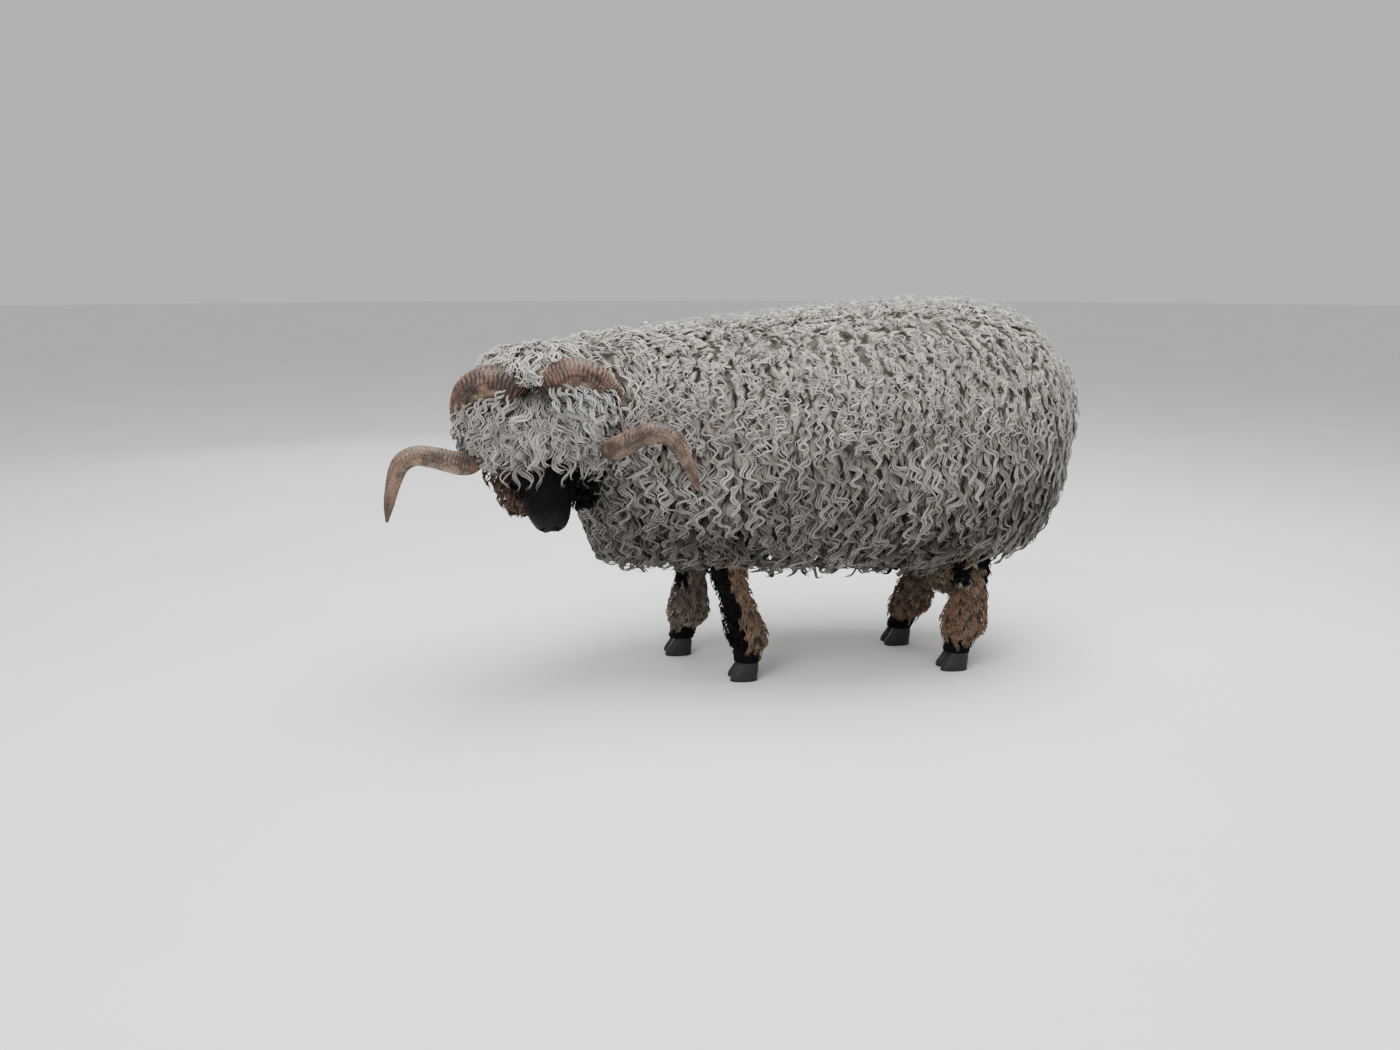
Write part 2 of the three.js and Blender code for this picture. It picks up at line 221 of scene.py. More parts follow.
# %% Stations of the legs and claws: y, z, then half width and depth before and behind
LEG_TOP = 440
SPREAD = 98  # from the middle plane to the middle of a leg
FORE_LEG = [
    (-258, LEG_TOP, 64, 78, 82),
    (-262, 360, 60, 64, 68),
    (-264, 300, 53, 54, 57),
    (-266, 262, 45, 47, 46),
    (-266, 232, 43, 45, 42),
    (-264, 204, 42, 41, 42),
    (-263, 160, 46, 44, 47),
    (-262, 118, 53, 50, 55),
    (-263, 90, 47, 46, 48),
    (-266, 72, 35, 36, 36),
    (-272, 46, 33, 35, 34),
]
HIND_LEG = [
    (300, LEG_TOP, 96, 120, 112),
    (318, 372, 76, 84, 86),
    (338, 318, 60, 60, 60),
    (352, 280, 48, 49, 48),
    (356, 246, 43, 42, 46),
    (350, 212, 42, 41, 44),
    (338, 164, 46, 44, 47),
    (328, 118, 53, 50, 55),
    (322, 90, 47, 46, 48),
    (316, 72, 35, 36, 36),
    (308, 46, 33, 35, 34),
]
LEGS = {  # stations, side of the body, and how far back the foot stands
    "fore_left": (FORE_LEG, 1, 112),
    "fore_right": (FORE_LEG, -1, -38),
    "hind_left": (HIND_LEG, 1, 45),
    "hind_right": (HIND_LEG, -1, -45),
}
CLAW_APART = 17
CLAW = [
    (5, 45.6, 13.5, 22, 24, 2.2),
    (3, 30, 14.5, 28, 26, 2.3),
    (0, 12, 15.5, 37, 27, 2.4),
    (0, 0, 15.5, 40, 27, 2.4),
]
print("stations: fore leg", len(FORE_LEG), "hind leg", len(HIND_LEG), "claw", len(CLAW))

# %% Where the origin lies
# The frame's origin is under the middle of the outline, so one claw and one cut across the trunk say
# how far the stations are moved.
claw_low, claw_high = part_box("fore_left_claw_outer")
barrel_low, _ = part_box("barrel")
GAP = 0.4 * MM  # between two solids of the trunk
CUT = np.array([15 / 24])  # where the shoulders end and the barrel starts, as a share of the trunk
SHIFT = np.array(
    [
        (claw_low.x + claw_high.x) / 2 - (SPREAD + CLAW_APART) * MM,
        barrel_low.y - GAP / 2 - spline(np.array(TRUNK) * MM, CUT)[0, 1],
        0.0,
    ]
)
STAND = np.eye(4)
STAND[:3, 3] = SHIFT
print("stations moved by", np.round(SHIFT, 4))

# %% [markdown]
# ## The head's measures
#
# The head hangs low and turns towards the camera, so it gets a frame of its own: x to its right ear, y
# along the nose and z out of the forehead. In that frame the left side mirrors the right. Turning
# finished pieces would also do, but a piece's place has to be in its mesh.

# %% The head's own frame
HEAD_AT = np.array([205, -652, 735]) * MM
nose = unit([0.3, 0.06, -0.952])
brow = unit(np.cross([-0.1, -0.99, -0.098], nose))
HEAD_PLACE = np.eye(4)
HEAD_PLACE[:3, :3] = np.stack([np.cross(nose, brow), nose, brow], 1)
HEAD_PLACE[:3, 3] = HEAD_AT + SHIFT
print("head at", np.round(HEAD_PLACE[:3, 3], 3))

# %% Stations of head, horn and ear
HEAD = [
    (0, -38, -62, 22, 20, 24),
    (0, -28, -62, 48, 44, 50),
    (0, -5, -65, 67, 62, 70),
    (0, 40, -68, 77, 72, 82),
    (0, 90, -72, 83, 79, 88),
    (0, 135, -74, 79, 80, 84),
    (0, 182, -72, 67, 72, 68),
    (0, 224, -72, 54, 62, 52),
    (0, 262, -74, 46, 53, 42),
    (0, 290, -78, 40, 43, 34),
    (0, 311, -84, 29, 28, 25),
    (0, 322, -88, 13, 13, 11),
]
HORN = [
    (34, 32, -14, 37, 28, 28),
    (52, 22, 12, 38, 29, 29),
    (85, 14, 28, 37, 29, 28),
    (122, 22, 14, 35, 28, 27),
    (147, 46, -24, 33, 27, 26),
    (154, 85, -56, 31, 26, 25),
    (148, 128, -62, 29, 25, 24),
    (147, 160, -36, 27, 24, 23),
    (166, 168, 2, 25, 23, 22),
    (205, 157, 28, 23, 22, 21),
    (245, 150, 38, 22, 21, 20),
    (277, 165, 36, 20, 19, 18),
    (298, 204, 26, 16, 15, 14),
    (313, 244, 14, 11, 10, 9),
    (322, 276, 6, 3, 3, 3),
]
EAR = [
    (52, 62, -62, 16, 12, 12),
    (76, 72, -56, 24, 11, 11),
    (100, 82, -46, 27, 9, 9),
    (122, 92, -34, 24, 7, 7),
    (142, 102, -22, 16, 5, 5),
    (154, 108, -14, 5, 3, 3),
]

print("stations: head", len(HEAD), "horn", len(HORN), "ear", len(EAR))

# %% Stations of the head's wool, and the eyes' place
TOPKNOT = [
    (0, 32, -8, 44, 30, 30),
    (0, 48, -14, 98, 46, 46),
    (0, 75, -20, 138, 56, 52),
    (0, 110, -26, 156, 60, 54),
    (0, 145, -30, 150, 56, 50),
    (0, 172, -32, 112, 50, 42),
    (0, 192, -34, 70, 42, 30),
    (0, 204, -35, 28, 30, 20),
]
POLL = [
    (0, -76, -42, 34, 16, 16),
    (0, -68, -40, 74, 36, 30),
    (0, -42, -32, 104, 50, 44),
    (0, -6, -22, 106, 52, 44),
    (0, 20, -18, 60, 40, 34),
]

EYE_AT, EYE_RADIUS = np.array([64, 122, -38]) * MM, 15 * MM
EYE_WAY = (0.88, 0.24, 0.40)
SIDES = {"left": -1, "right": 1}  # in the head's frame


def mirrored(stations, side):
    """The same stations on one side of the head's middle plane."""
    return [(side * s[0], *s[1:]) for s in stations]


# %% Forms of the ram
DOWN, TOP_UP = (0, 0, -1), (0, 0, 1)
NOSE_WAY = (0, 1, 0)
trunk = Form(TRUNK, TOP_UP, (0, -1, 0), STAND)
neck = Form(NECK, TOP_UP, NECK_WAY, STAND)
tail = Form(TAIL, (0, 1, 0), None, STAND)
scrotum = Form(SCROTUM, (0, -1, 0), DOWN, STAND)


def head_form(stations, side=1):
    """A form along the nose in the head's frame, mirrored where side is -1."""
    return Form(mirrored(stations, side), TOP_UP, NOSE_WAY, HEAD_PLACE)


head, topknot, poll = head_form(HEAD), head_form(TOPKNOT), head_form(POLL)
horns = {n: Form(mirrored(HORN, s), (0, 0.25, 1), None, HEAD_PLACE) for n, s in SIDES.items()}
ears = {n: Form(mirrored(EAR, s), (0.3 * s, -0.35, 1), None, HEAD_PLACE) for n, s in SIDES.items()}
legs = {
    name: Form([(side * SPREAD, *s) for s in form], (0, -1, 0), DOWN, STAND, stride)
    for name, (form, side, stride) in LEGS.items()
}
print("forms:", 7 + len(horns) + len(ears) + len(legs))

# %% [markdown]
# ## Meshes from grids
#
# A surface of two parameters is a grid of points. Quads join neighbours, the last column joins the
# first, and each end closes on one point, so the surface has no hole and its faces point outwards.
# Blender's own curves give tubes too, but not a number for each point, which the finishes need.

# %% From arrays to a mesh
RNG = np.random.default_rng(11)


def set_numbers(mesh, key, values):
    """One number for each point, under a name that a finish can read."""
    data = mesh.attributes.new(key, "FLOAT", "POINT").data
    data.foreach_set("value", np.asarray(values, np.float32).ravel())


def add_mesh(name, points, faces, uvs, finish, numbers=None):
    """Puts points, faces of one size each, a UV pair per corner and a number per point into an object."""
    mesh = bpy.data.meshes.new(name)
    corners = np.concatenate([f.ravel() for f in faces]).astype(np.int32)
    sizes = np.concatenate([np.full(len(f), f.shape[1]) for f in faces]).astype(np.int32)
    mesh.vertices.add(len(points))
    mesh.vertices.foreach_set("co", np.asarray(points, np.float32).ravel())
    mesh.loops.add(len(corners))
    mesh.loops.foreach_set("vertex_index", corners)
    mesh.polygons.add(len(sizes))
    mesh.polygons.foreach_set("loop_start", (np.cumsum(sizes) - sizes).astype(np.int32))
    mesh.polygons.foreach_set("loop_total", sizes)
    mesh.polygons.foreach_set("use_smooth", np.ones(len(sizes), bool))
    mesh.update(calc_edges=True)
    mesh.validate()
    for layer, values in uvs.items():
        mesh.uv_layers.new(name=layer).data.foreach_set("uv", np.asarray(values, np.float32).ravel())
    for key, values in (numbers or {}).items():
        set_numbers(mesh, key, values)
    mesh.materials.append(finish)
    piece = bpy.data.objects.new(name, mesh)
    bpy.context.collection.objects.link(piece)
    return piece


def finish_piece(piece, slot, *nodes):
    """The piece rides on the ram and stands for its nodes; slot is not used."""
    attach(piece, "root")
    if nodes:
        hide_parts(*nodes)
    return piece


# %% Faces of a closed tube
def tube_grid(rings, around):
    """Faces and corner UVs of a closed tube: quads between rings, a fan of triangles at each end."""
    i, j = np.meshgrid(np.arange(rings - 1), np.arange(around), indexing="ij")
    k = (j + 1) % around
    quads = np.stack([i * around + j, (i + 1) * around + j, (i + 1) * around + k, i * around + k], -1)
    u = np.stack([i, i + 1, i + 1, i], -1) / (rings - 1)
    v = np.stack([j, j, j + 1, j + 1], -1) / around
    ends = rings * around
    j, k = np.arange(around), (np.arange(around) + 1) % around
    first = np.stack([np.full(around, ends), j, k], -1)
    last = np.stack([np.full(around, ends + 1), (rings - 1) * around + k, (rings - 1) * around + j], -1)
    v_first = np.stack([(j + 0.5), j, j + 1], -1) / around
    v_last = np.stack([(j + 0.5), j + 1, j], -1) / around
    faces = [quads.reshape(-1, 4), np.vstack([first, last])]
    corner_u = np.concatenate([u.ravel(), np.zeros(3 * around), np.ones(3 * around)])
    corner_v = np.concatenate([v.ravel(), v_first.ravel(), v_last.ravel()])
    return faces, np.stack([corner_u, corner_v], -1)


# %% Closed tubes whose faces point outwards
def outwards(points, faces):
    """True if the solid's signed volume, the sum of a . (b x c) over its triangles, is positive."""
    volume = 0
    for f in faces:
        a, b, c = points[f[:, 0]], points[f[:, 1]], points[f[:, -1]]
        volume += np.sum(a * np.cross(b, c))
        if f.shape[1] == 4:
            volume += np.sum(b * np.cross(points[f[:, 2]], c))
    return volume > 0


def flip_corners(uv, faces):
    """Corner UVs turned round with their faces."""
    parts, start = [], 0
    for f in faces:
        size = f.shape[0] * f.shape[1]
        parts.append(uv[start : start + size].reshape(f.shape[0], f.shape[1], 2)[:, ::-1].reshape(-1, 2))
        start += size
    return np.vstack(parts)


def closed_surface(grid):
    """Points, faces and corner UVs of a closed tube: the grid's rings, then the middle of its first
    and last ring, with the faces turned outwards."""
    faces, uv = tube_grid(*grid.shape[:2])
    points = np.vstack([grid.reshape(-1, 3), grid[0].mean(0), grid[-1].mean(0)])
    if not outwards(points, faces):
        faces, uv = [f[:, ::-1] for f in faces], flip_corners(uv, faces)
    return points, faces, uv


def with_ends(values, shape):
    """A grid's numbers, then one for each end's middle point."""
    values = np.broadcast_to(values, shape)
    return np.concatenate([values.ravel(), values[[0, -1], 0]])


def inset(uv):
    """The UV map of a whole piece, 0.01 in from the edges of its square."""
    return uv * 0.98 + 0.01


# %% [markdown]
# ## Node helpers
#
# A finish is a tree of nodes. Written out in full, each node takes five lines, so a few small functions
# add a node, set it and link it in one. Shaders stay in the material itself, and a number that is the
# same all over is set on the shader's own socket, so that other programs can read it.

# %% Adding and linking nodes
def link(tree, source, target):
    """Joins two sockets."""
    tree.links.new(source, target)


def feed(tree, socket, value):
    """Links a socket to another one, or sets it to a number, a colour or its like."""
    if isinstance(value, bpy.types.NodeSocket):
        link(tree, value, socket)
    else:
        socket.default_value = value


def node(tree, kind, **values):
    """Adds a node and sets its named properties and input sockets."""
    made = tree.nodes.new(kind)
    for key, value in values.items():
        if hasattr(made, key):
            setattr(made, key, value)
        else:
            feed(tree, made.inputs[key.replace("_", " ")], value)
    return made


def object_place(tree):
    """The point's own place on the object, in metres."""
    return tree.nodes.new("ShaderNodeTexCoord").outputs["Object"]


def attribute(tree, name):
    """A number that the mesh carries at its points."""
    return node(tree, "ShaderNodeAttribute", attribute_name=name).outputs["Fac"]


# %% Sums on numbers
def math(tree, operation, first, second=0.0, clamp=False):
    """One sum on two numbers or sockets."""
    made = tree.nodes.new("ShaderNodeMath")
    made.operation, made.use_clamp = operation, clamp
    feed(tree, made.inputs[0], first)
    feed(tree, made.inputs[1], second)
    return made.outputs[0]


def line(tree, value, slope, start=0.0, clamp=False):
    """start + slope * value, kept from 0 to 1 if clamp is true."""
    return math(tree, "ADD", math(tree, "MULTIPLY", value, slope), start, clamp)


# %% Colours and patterns
def grey(tree, value):
    """A colour whose red, green and blue are all the value."""
    made = tree.nodes.new("ShaderNodeCombineColor")
    for socket in made.inputs:
        feed(tree, socket, value)
    return made.outputs[0]


def mix_colour(tree, factor, first, second, mode="MIX"):
    """first * (1 - factor) + second * factor, or another sum of two colours by its mode."""
    made = tree.nodes.new("ShaderNodeMix")
    made.data_type, made.blend_type = "RGBA", mode
    for socket, value in ((made.inputs[0], factor), (made.inputs[6], first), (made.inputs[7], second)):
        feed(tree, socket, (*value, 1) if isinstance(value, tuple) else value)
    return made.outputs[2]


def tinted(tree, colour, by):
    """One colour times another."""
    return mix_colour(tree, 1.0, colour, by, "MULTIPLY")


def ramp(tree, value, stops):
    """Turns a number into a colour by stops of (place, colour), with a soft change between them."""
    made = tree.nodes.new("ShaderNodeValToRGB")
    made.color_ramp.interpolation = "EASE"
    points = made.color_ramp.elements
    while len(points) < len(stops):
        points.new(0.5)
    for point, (place, colour) in zip(points, stops):
        point.position, point.color = place, (*colour, 1)
    link(tree, value, made.inputs[0])
    return made.outputs[0]


def noise(tree, vector, scale, detail=3.0, roughness=0.5):
    """Cloudy noise of so many lumps a metre, or a unit of the vector."""
    made = node(tree, "ShaderNodeTexNoise", Vector=vector, Scale=scale, Detail=detail, Roughness=roughness)
    return made.outputs["Fac"]


def stretched(tree, vector, scale):
    """The vector with each of its parts scaled."""
    made = node(tree, "ShaderNodeMapping", Vector=vector, Scale=scale)
    return made.outputs[0]


# %% Groups, materials and relief
def group(name, inputs, outputs):
    """An empty node group with the sockets that are named."""
    made = bpy.data.node_groups.new(name, "ShaderNodeTree")
    for title, kind, value in inputs:
        socket = made.interface.new_socket(title, in_out="INPUT", socket_type=kind)
        if value is not None:
            socket.default_value = value
    for title, kind in outputs:
        made.interface.new_socket(title, in_out="OUTPUT", socket_type=kind)
    return made, made.nodes.new("NodeGroupInput").outputs, made.nodes.new("NodeGroupOutput").inputs


def place_group(tree, shared, **values):
    """Puts a shared group in a material, with its own values, and gives what it puts out."""
    made = tree.nodes.new("ShaderNodeGroup")
    made.node_tree = shared
    for key, value in values.items():
        feed(tree, made.inputs[key], value)
    return made.outputs[0]


def material(name, **constants):
    """A new material and its shader, with the constants set on the shader's own sockets."""
    made = bpy.data.materials.new(name)
    made.use_nodes = True
    shader = made.node_tree.nodes["Principled BSDF"]
    for key, value in constants.items():
        shader.inputs[key.replace("_", " ")].default_value = value
    return made, made.node_tree, shader.inputs


def relief(tree, shader, height, strength, depth):
    """Turns a height from 0 to 1 into bumps of so many metres."""
    made = node(tree, "ShaderNodeBump", Strength=strength, Distance=depth, Height=height)
    link(tree, made.outputs[0], shader["Normal"])


# %% [markdown]
# ## Wool and hair
#
# Wool is never one colour. Deep in the fleece it is clean cream but shaded, and that shade is painted into
# the colour; the tips are bleached or soiled, and each lock differs a little from the next. One colour with
# noise would look like plaster. A shared node group turns three numbers that every lock carries (how far
# along it a point is, its own tint, and how stained that place is and how much shade is painted there)
# into a colour, and another gives the fine fibres along each lock.

# %% Shared group: the colour of a lock
COLOUR, NUMBER = "NodeSocketColor", "NodeSocketFloat"
SOFT_START = 0.22  # what is left of the light where a lock starts or between its fibres
tree, given, result = group(
    "lock colour",
    [("Root", COLOUR, None), ("Middle", COLOUR, None), ("Tip", COLOUR, None), ("Stain", COLOUR, None),
     ("Variation", NUMBER, 0.25)],
    [("Colour", COLOUR)],
)
lock_colour, along = tree, attribute(tree, "along")
# from root to middle to tip; the dark root is painted shade deep in the fleece
colour = mix_colour(tree, line(tree, along, 2.2, 0.0, True), given["Root"], given["Middle"])
colour = mix_colour(tree, line(tree, along, 2.2, -1.2, True), colour, given["Tip"])
# stains with painted shade that grows lower on the body, a little less at the tip, and darker still as painted shade
# deep in the fleece
soiled_and_shaded = math(tree, "MULTIPLY", attribute(tree, "stain_and_shade"), line(tree, along, -0.14, 1.0))
dirt_and_shade = tinted(tree, given["Stain"], grey(tree, line(tree, along, 1.5, SOFT_START)))
colour = mix_colour(tree, soiled_and_shaded, colour, dirt_and_shade)
# lighter and darker locks, and the same in patches
cloud = noise(tree, object_place(tree), 9.0)
share = math(tree, "ADD", line(tree, attribute(tree, "tint"), 0.7), line(tree, cloud, 0.6))
away = math(tree, "MULTIPLY", line(tree, share, 1.0, -0.65), line(tree, given["Variation"], 2.0))
link(tree, tinted(tree, colour, grey(tree, line(tree, away, 1.0, 1.0))), result["Colour"])
print(lock_colour.name, "nodes:", len(tree.nodes))

# %% Shared group: fibres along a lock
tree, given, result = group(
    "fibres along a lock", [("Lines", NUMBER, 9.0), ("Length", NUMBER, 40.0)], [("Height", NUMBER)]
)
fibres = tree
# the strand's map, stretched along it and moved for each lock, gives noise its place
strand = node(tree, "ShaderNodeUVMap", uv_map="strand").outputs[0]
sizes = node(tree, "ShaderNodeCombineXYZ", X=given["Length"], Y=given["Lines"], Z=1.0)
offset = node(tree, "ShaderNodeCombineXYZ", Z=line(tree, attribute(tree, "tint"), 31.0))
scaled = node(tree, "ShaderNodeVectorMath", operation="MULTIPLY")
shifted = node(tree, "ShaderNodeVectorMath", operation="ADD")
for made, first, second in ((scaled, strand, sizes.outputs[0]), (shifted, scaled.outputs[0], offset.outputs[0])):
    link(tree, first, made.inputs[0])
    link(tree, second, made.inputs[1])
link(tree, noise(tree, shifted.outputs[0], 1.0, 2.0, 0.6), result["Height"])
print(fibres.name, "nodes:", len(tree.nodes))

# %% A finish for locks and tufts
def lock_finish(name, root, middle, tip, stain_and_shade, variation, lines=12.0, sheen=0.2, shine=0.25):
    """Wool or hair: lock colour, with painted shade between the fibres, into Base Color, and fibres into relief."""
    made, tree, shader = material(
        name, Roughness=0.8, Sheen_Weight=sheen, Sheen_Roughness=0.5, Specular_IOR_Level=shine,
        Sheen_Tint=(1.0, 0.97, 0.9, 1),
    )
    paint = place_group(tree, lock_colour, Root=(*root, 1), Middle=(*middle, 1), Tip=(*tip, 1),
                        Stain=(*stain_and_shade, 1), Variation=variation)
    hair = place_group(tree, fibres, Lines=lines)
    # painted shade between the fibres
    link(tree, tinted(tree, paint, grey(tree, line(tree, hair, 1.5, SOFT_START))), shader["Base Color"])
    relief(tree, shader, hair, 0.7, 0.0016)
    return made


# %% The finishes of the wool and the hair: root, middle, tip, the colour of stains and painted shade, and how much locks differ
FLEECE = lock_finish(
    "fleece", (0.18, 0.165, 0.14), (0.56, 0.53, 0.48), (0.92, 0.90, 0.865), (0.029, 0.025, 0.020), 0.56, sheen=0.12
)
# the under wool is darker than the fleece: painted shade deep among the curls
UNDER_WOOL = lock_finish(
    "under wool", (0.22, 0.195, 0.16), (0.38, 0.345, 0.295), (0.44, 0.40, 0.345), (0.012, 0.0095, 0.007), 0.3
)
FRINGE = lock_finish(
    "fringe wool", (0.035, 0.033, 0.033), (0.33, 0.32, 0.315), (0.82, 0.81, 0.80), (0.18, 0.15, 0.12), 0.66,
    sheen=0.12,
)
RUST_WOOL = lock_finish(
    "rust wool", (0.016, 0.009, 0.007), (0.060, 0.031, 0.021), (0.135, 0.080, 0.055), (0.055, 0.031, 0.022), 0.6,
    sheen=0.08,
)
GREY_LEG_WOOL = lock_finish(
    "grey leg wool", (0.03, 0.025, 0.02), (0.17, 0.145, 0.115), (0.30, 0.26, 0.21), (0.13, 0.10, 0.072), 0.4
)
LEG_WOOL = lock_finish(
    "rusty leg wool", (0.025, 0.017, 0.012), (0.15, 0.095, 0.055), (0.26, 0.18, 0.115), (0.13, 0.075, 0.042), 0.4
)
BLACK_HAIR = lock_finish(
    "black hair", (0.0012, 0.0012, 0.0014), (0.003, 0.003, 0.0034), (0.007, 0.0066, 0.007), (0.010, 0.008, 0.008),
    0.3, lines=7.0, sheen=0.0, shine=0.04,
)
print("finishes:", [m.name for m in bpy.data.materials if m.name.endswith(("wool", "hair", "fleece"))])

# %% [markdown]
# ## Skin finish
#
# The skin shows on the muzzle and between the hairs of the face. It is black with short hair there,
# pebbled and a little glossier round the nostrils, and cream darkened to beige as painted shade where it
# lies under the wool. Two materials on chosen faces would leave a stepped edge, so one material mixes them
# by numbers at the points.

# %% Skin: black, or cream darkened by painted shade under the wool, hairy or bare
skin_finish, tree, shader = material("skin", Roughness=0.78, Specular_IOR_Level=0.09)
here, bare = object_place(tree), attribute(tree, "bare")
# under the wool the skin is cream darkened to beige: painted shade between the locks
woolly = ramp(tree, noise(tree, here, 60.0, 4.0), [(0.3, (0.17, 0.155, 0.13)), (0.7, (0.30, 0.275, 0.235))])
hairy = ramp(
    tree, noise(tree, here, 160.0, 5.0, 0.7), [(0.3, (0.0018, 0.0017, 0.0018)), (0.75, (0.005, 0.0046, 0.0046))]
)
nose_skin = ramp(tree, noise(tree, here, 90.0, 3.0), [(0.3, (0.0035, 0.0032, 0.0033)), (0.8, (0.009, 0.008, 0.008))])
black = mix_colour(tree, bare, hairy, nose_skin)
link(tree, mix_colour(tree, attribute(tree, "black"), woolly, black), shader["Base Color"])
pebbles = node(tree, "ShaderNodeTexVoronoi", Vector=here, Scale=420.0).outputs["Distance"]
height = node(tree, "ShaderNodeMix")
for place, value in ((0, bare), (2, noise(tree, here, 900.0, 3.0, 0.7)), (3, pebbles)):
    link(tree, value, height.inputs[place])
relief(tree, shader, height.outputs[0], 0.6, 0.0012)
link(tree, line(tree, bare, -0.25, 0.85), shader["Roughness"])
print(skin_finish.name, "nodes:", len(tree.nodes))

# %% [markdown]
# ## Horn, hoof and eye finishes
#
# A horn is brown with dark rings, a paler inner face, streaks that run along it and stains from use.
# The streaks follow the horn's own UV map, because a pattern in space would cut across its curl. Hoof is
# nearly black with faint level bands. The eye is wet, so it gets a clear coat over an amber iris.

# %% Horn: base colours along it, and the paler inner face
horn_finish, tree, shader = material("horn", Specular_IOR_Level=0.4)
along, here = attribute(tree, "along"), object_place(tree)
outer = ramp(tree, along, [
    (0.0, (0.112, 0.070, 0.058)), (0.3, (0.140, 0.092, 0.074)), (0.5, (0.122, 0.090, 0.073)),
    (0.85, (0.128, 0.093, 0.074)), (1.0, (0.098, 0.056, 0.049)),
])
inner = ramp(tree, along, [(0.0, (0.150, 0.108, 0.073)), (0.6, (0.160, 0.118, 0.086)), (1.0, (0.115, 0.070, 0.055))])
base = mix_colour(tree, attribute(tree, "inner"), outer, inner)
base = mix_colour(tree, attribute(tree, "ring"), base, tinted(tree, base, (0.13, 0.09, 0.085)))

# %% Horn: flecks, blotches and streaks
grain = node(tree, "ShaderNodeUVMap", uv_map="strand").outputs[0]
flecks = noise(tree, here, 240.0, 5.0, 0.7)
blotches = noise(tree, here, 26.0, 3.0, 0.6)
streaks = noise(tree, stretched(tree, grain, (9.0, 26.0, 1.0)), 1.0, 5.0, 0.65)
for pattern, stops in (
    (flecks, [(0.25, (0.66, 0.62, 0.58)), (0.75, (1.22, 1.20, 1.16))]),
    (blotches, [(0.38, (0.46, 0.44, 0.44)), (0.62, (1.48, 1.40, 1.30))]),
    (streaks, [(0.34, (0.40, 0.36, 0.34)), (0.5, (0.95, 0.94, 0.93)), (0.72, (1.32, 1.25, 1.16))]),
):
    base = tinted(tree, base, ramp(tree, pattern, stops))
link(tree, base, shader["Base Color"])
link(tree, line(tree, noise(tree, here, 120.0), 0.3, 0.36), shader["Roughness"])
relief(tree, shader, noise(tree, stretched(tree, grain, (60.0, 90.0, 1.0)), 1.0, 4.0, 0.6), 0.5, 0.0008)
print(horn_finish.name, "nodes:", len(tree.nodes))

# %% Hoof and eye
hoof_finish, tree, shader = material("hoof", Specular_IOR_Level=0.4)
bands = noise(tree, stretched(tree, object_place(tree), (60.0, 60.0, 260.0)), 1.0, 4.0, 0.6)
hoof_stops = [(0.3, (0.006, 0.005, 0.0045)), (0.62, (0.016, 0.0135, 0.0115)), (0.85, (0.042, 0.035, 0.028))]
link(tree, ramp(tree, bands, hoof_stops), shader["Base Color"])
link(tree, line(tree, bands, 0.3, 0.35), shader["Roughness"])
relief(tree, shader, bands, 0.5, 0.001)

eye_finish, tree, shader = material(
    "eye", Roughness=0.08, Coat_Weight=1.0, Coat_Roughness=0.03, Specular_IOR_Level=0.6
)
rays = noise(tree, object_place(tree), 900.0, 4.0, 0.7)
iris = ramp(tree, rays, [(0.3, (0.10, 0.045, 0.012)), (0.7, (0.26, 0.135, 0.04))])
iris = mix_colour(tree, attribute(tree, "rim"), iris, (0.012, 0.008, 0.006))
link(tree, mix_colour(tree, attribute(tree, "pupil"), iris, (0.002, 0.002, 0.003)), shader["Base Color"])
print("made", hoof_finish.name, "and", eye_finish.name)

# %% [markdown]
# ## Markings
#
# The breed's black lies on the face, the ears, the knees and hocks, and the feet. Skin and coat read the
# same function of place, so a black tuft never grows from cream skin. Painting it by hand would be
# quicker once, but it would have to be done again for each piece of coat.

# %% Places in the head's frame and beside the legs
def in_head(points):
    """The points in the head's own frame, in millimetres."""
    return (points - HEAD_PLACE[:3, 3]) @ HEAD_PLACE[:3, :3] / MM


def in_leg(points):
    """The number of the nearest leg for each point, and how far forward of the leg's middle it lies."""
    fronts, spans = [], []
    for form in legs.values():
        row = spline(form.rows, np.linspace(0, 1, 90))[::-1, :3] + SHIFT
        x = np.interp(points[:, 2], row[:, 2], row[:, 0])
        y = np.interp(points[:, 2], row[:, 2], row[:, 1])
        fronts.append(y - points[:, 1])
        spans.append(np.hypot(points[:, 0] - x, points[:, 1] - y))
    nearest = np.argmin(spans, 0)
    return nearest, np.array(fronts)[nearest, np.arange(len(points))]


# %% Where the coat is black, and where it is stained, with painted shade lower down
FORE_LEFT, FORE_LEGS = 0, (0, 1)  # numbers of the legs
FACE_MIDDLE, FACE_REACH = (0, 130, -60), 260


def black_mask(points):
    """1 where the coat is black: the face and ears, the front of the knees, the hocks, and below the
    fetlocks, with soft and uneven edges. The fore left leg has a black shin too."""
    local = in_head(points)
    ragged = 9 * np.sin(points[:, 0] * 210 + 3 * np.sin(points[:, 2] * 170)) * np.sin(points[:, 1] * 190 + 1.3)
    face = smooth(30, 50, local[:, 1] + ragged) * (np.linalg.norm(local - FACE_MIDDLE, axis=1) < FACE_REACH)
    nearest, front = in_leg(points)
    z = points[:, 2] / MM + ragged
    feet = 1 - smooth(82, 96, z)
    knee = smooth(178, 200, z) * (1 - smooth(300, 322, z)) * smooth(-0.004, 0.016, front)
    shin = (nearest == FORE_LEFT) * smooth(-0.018, 0.004, front) * (1 - smooth(300, 330, z))
    hock = smooth(205, 232, z) * (1 - smooth(300, 326, z)) * smooth(0.0, 0.02, np.abs(front) * 0.7 + 0.004)
    joint = np.where(np.isin(nearest, FORE_LEGS), np.maximum(knee, shin), hock)
    low = points[:, 2] < 0.36
    return np.maximum(face, low * np.maximum(feet, joint))


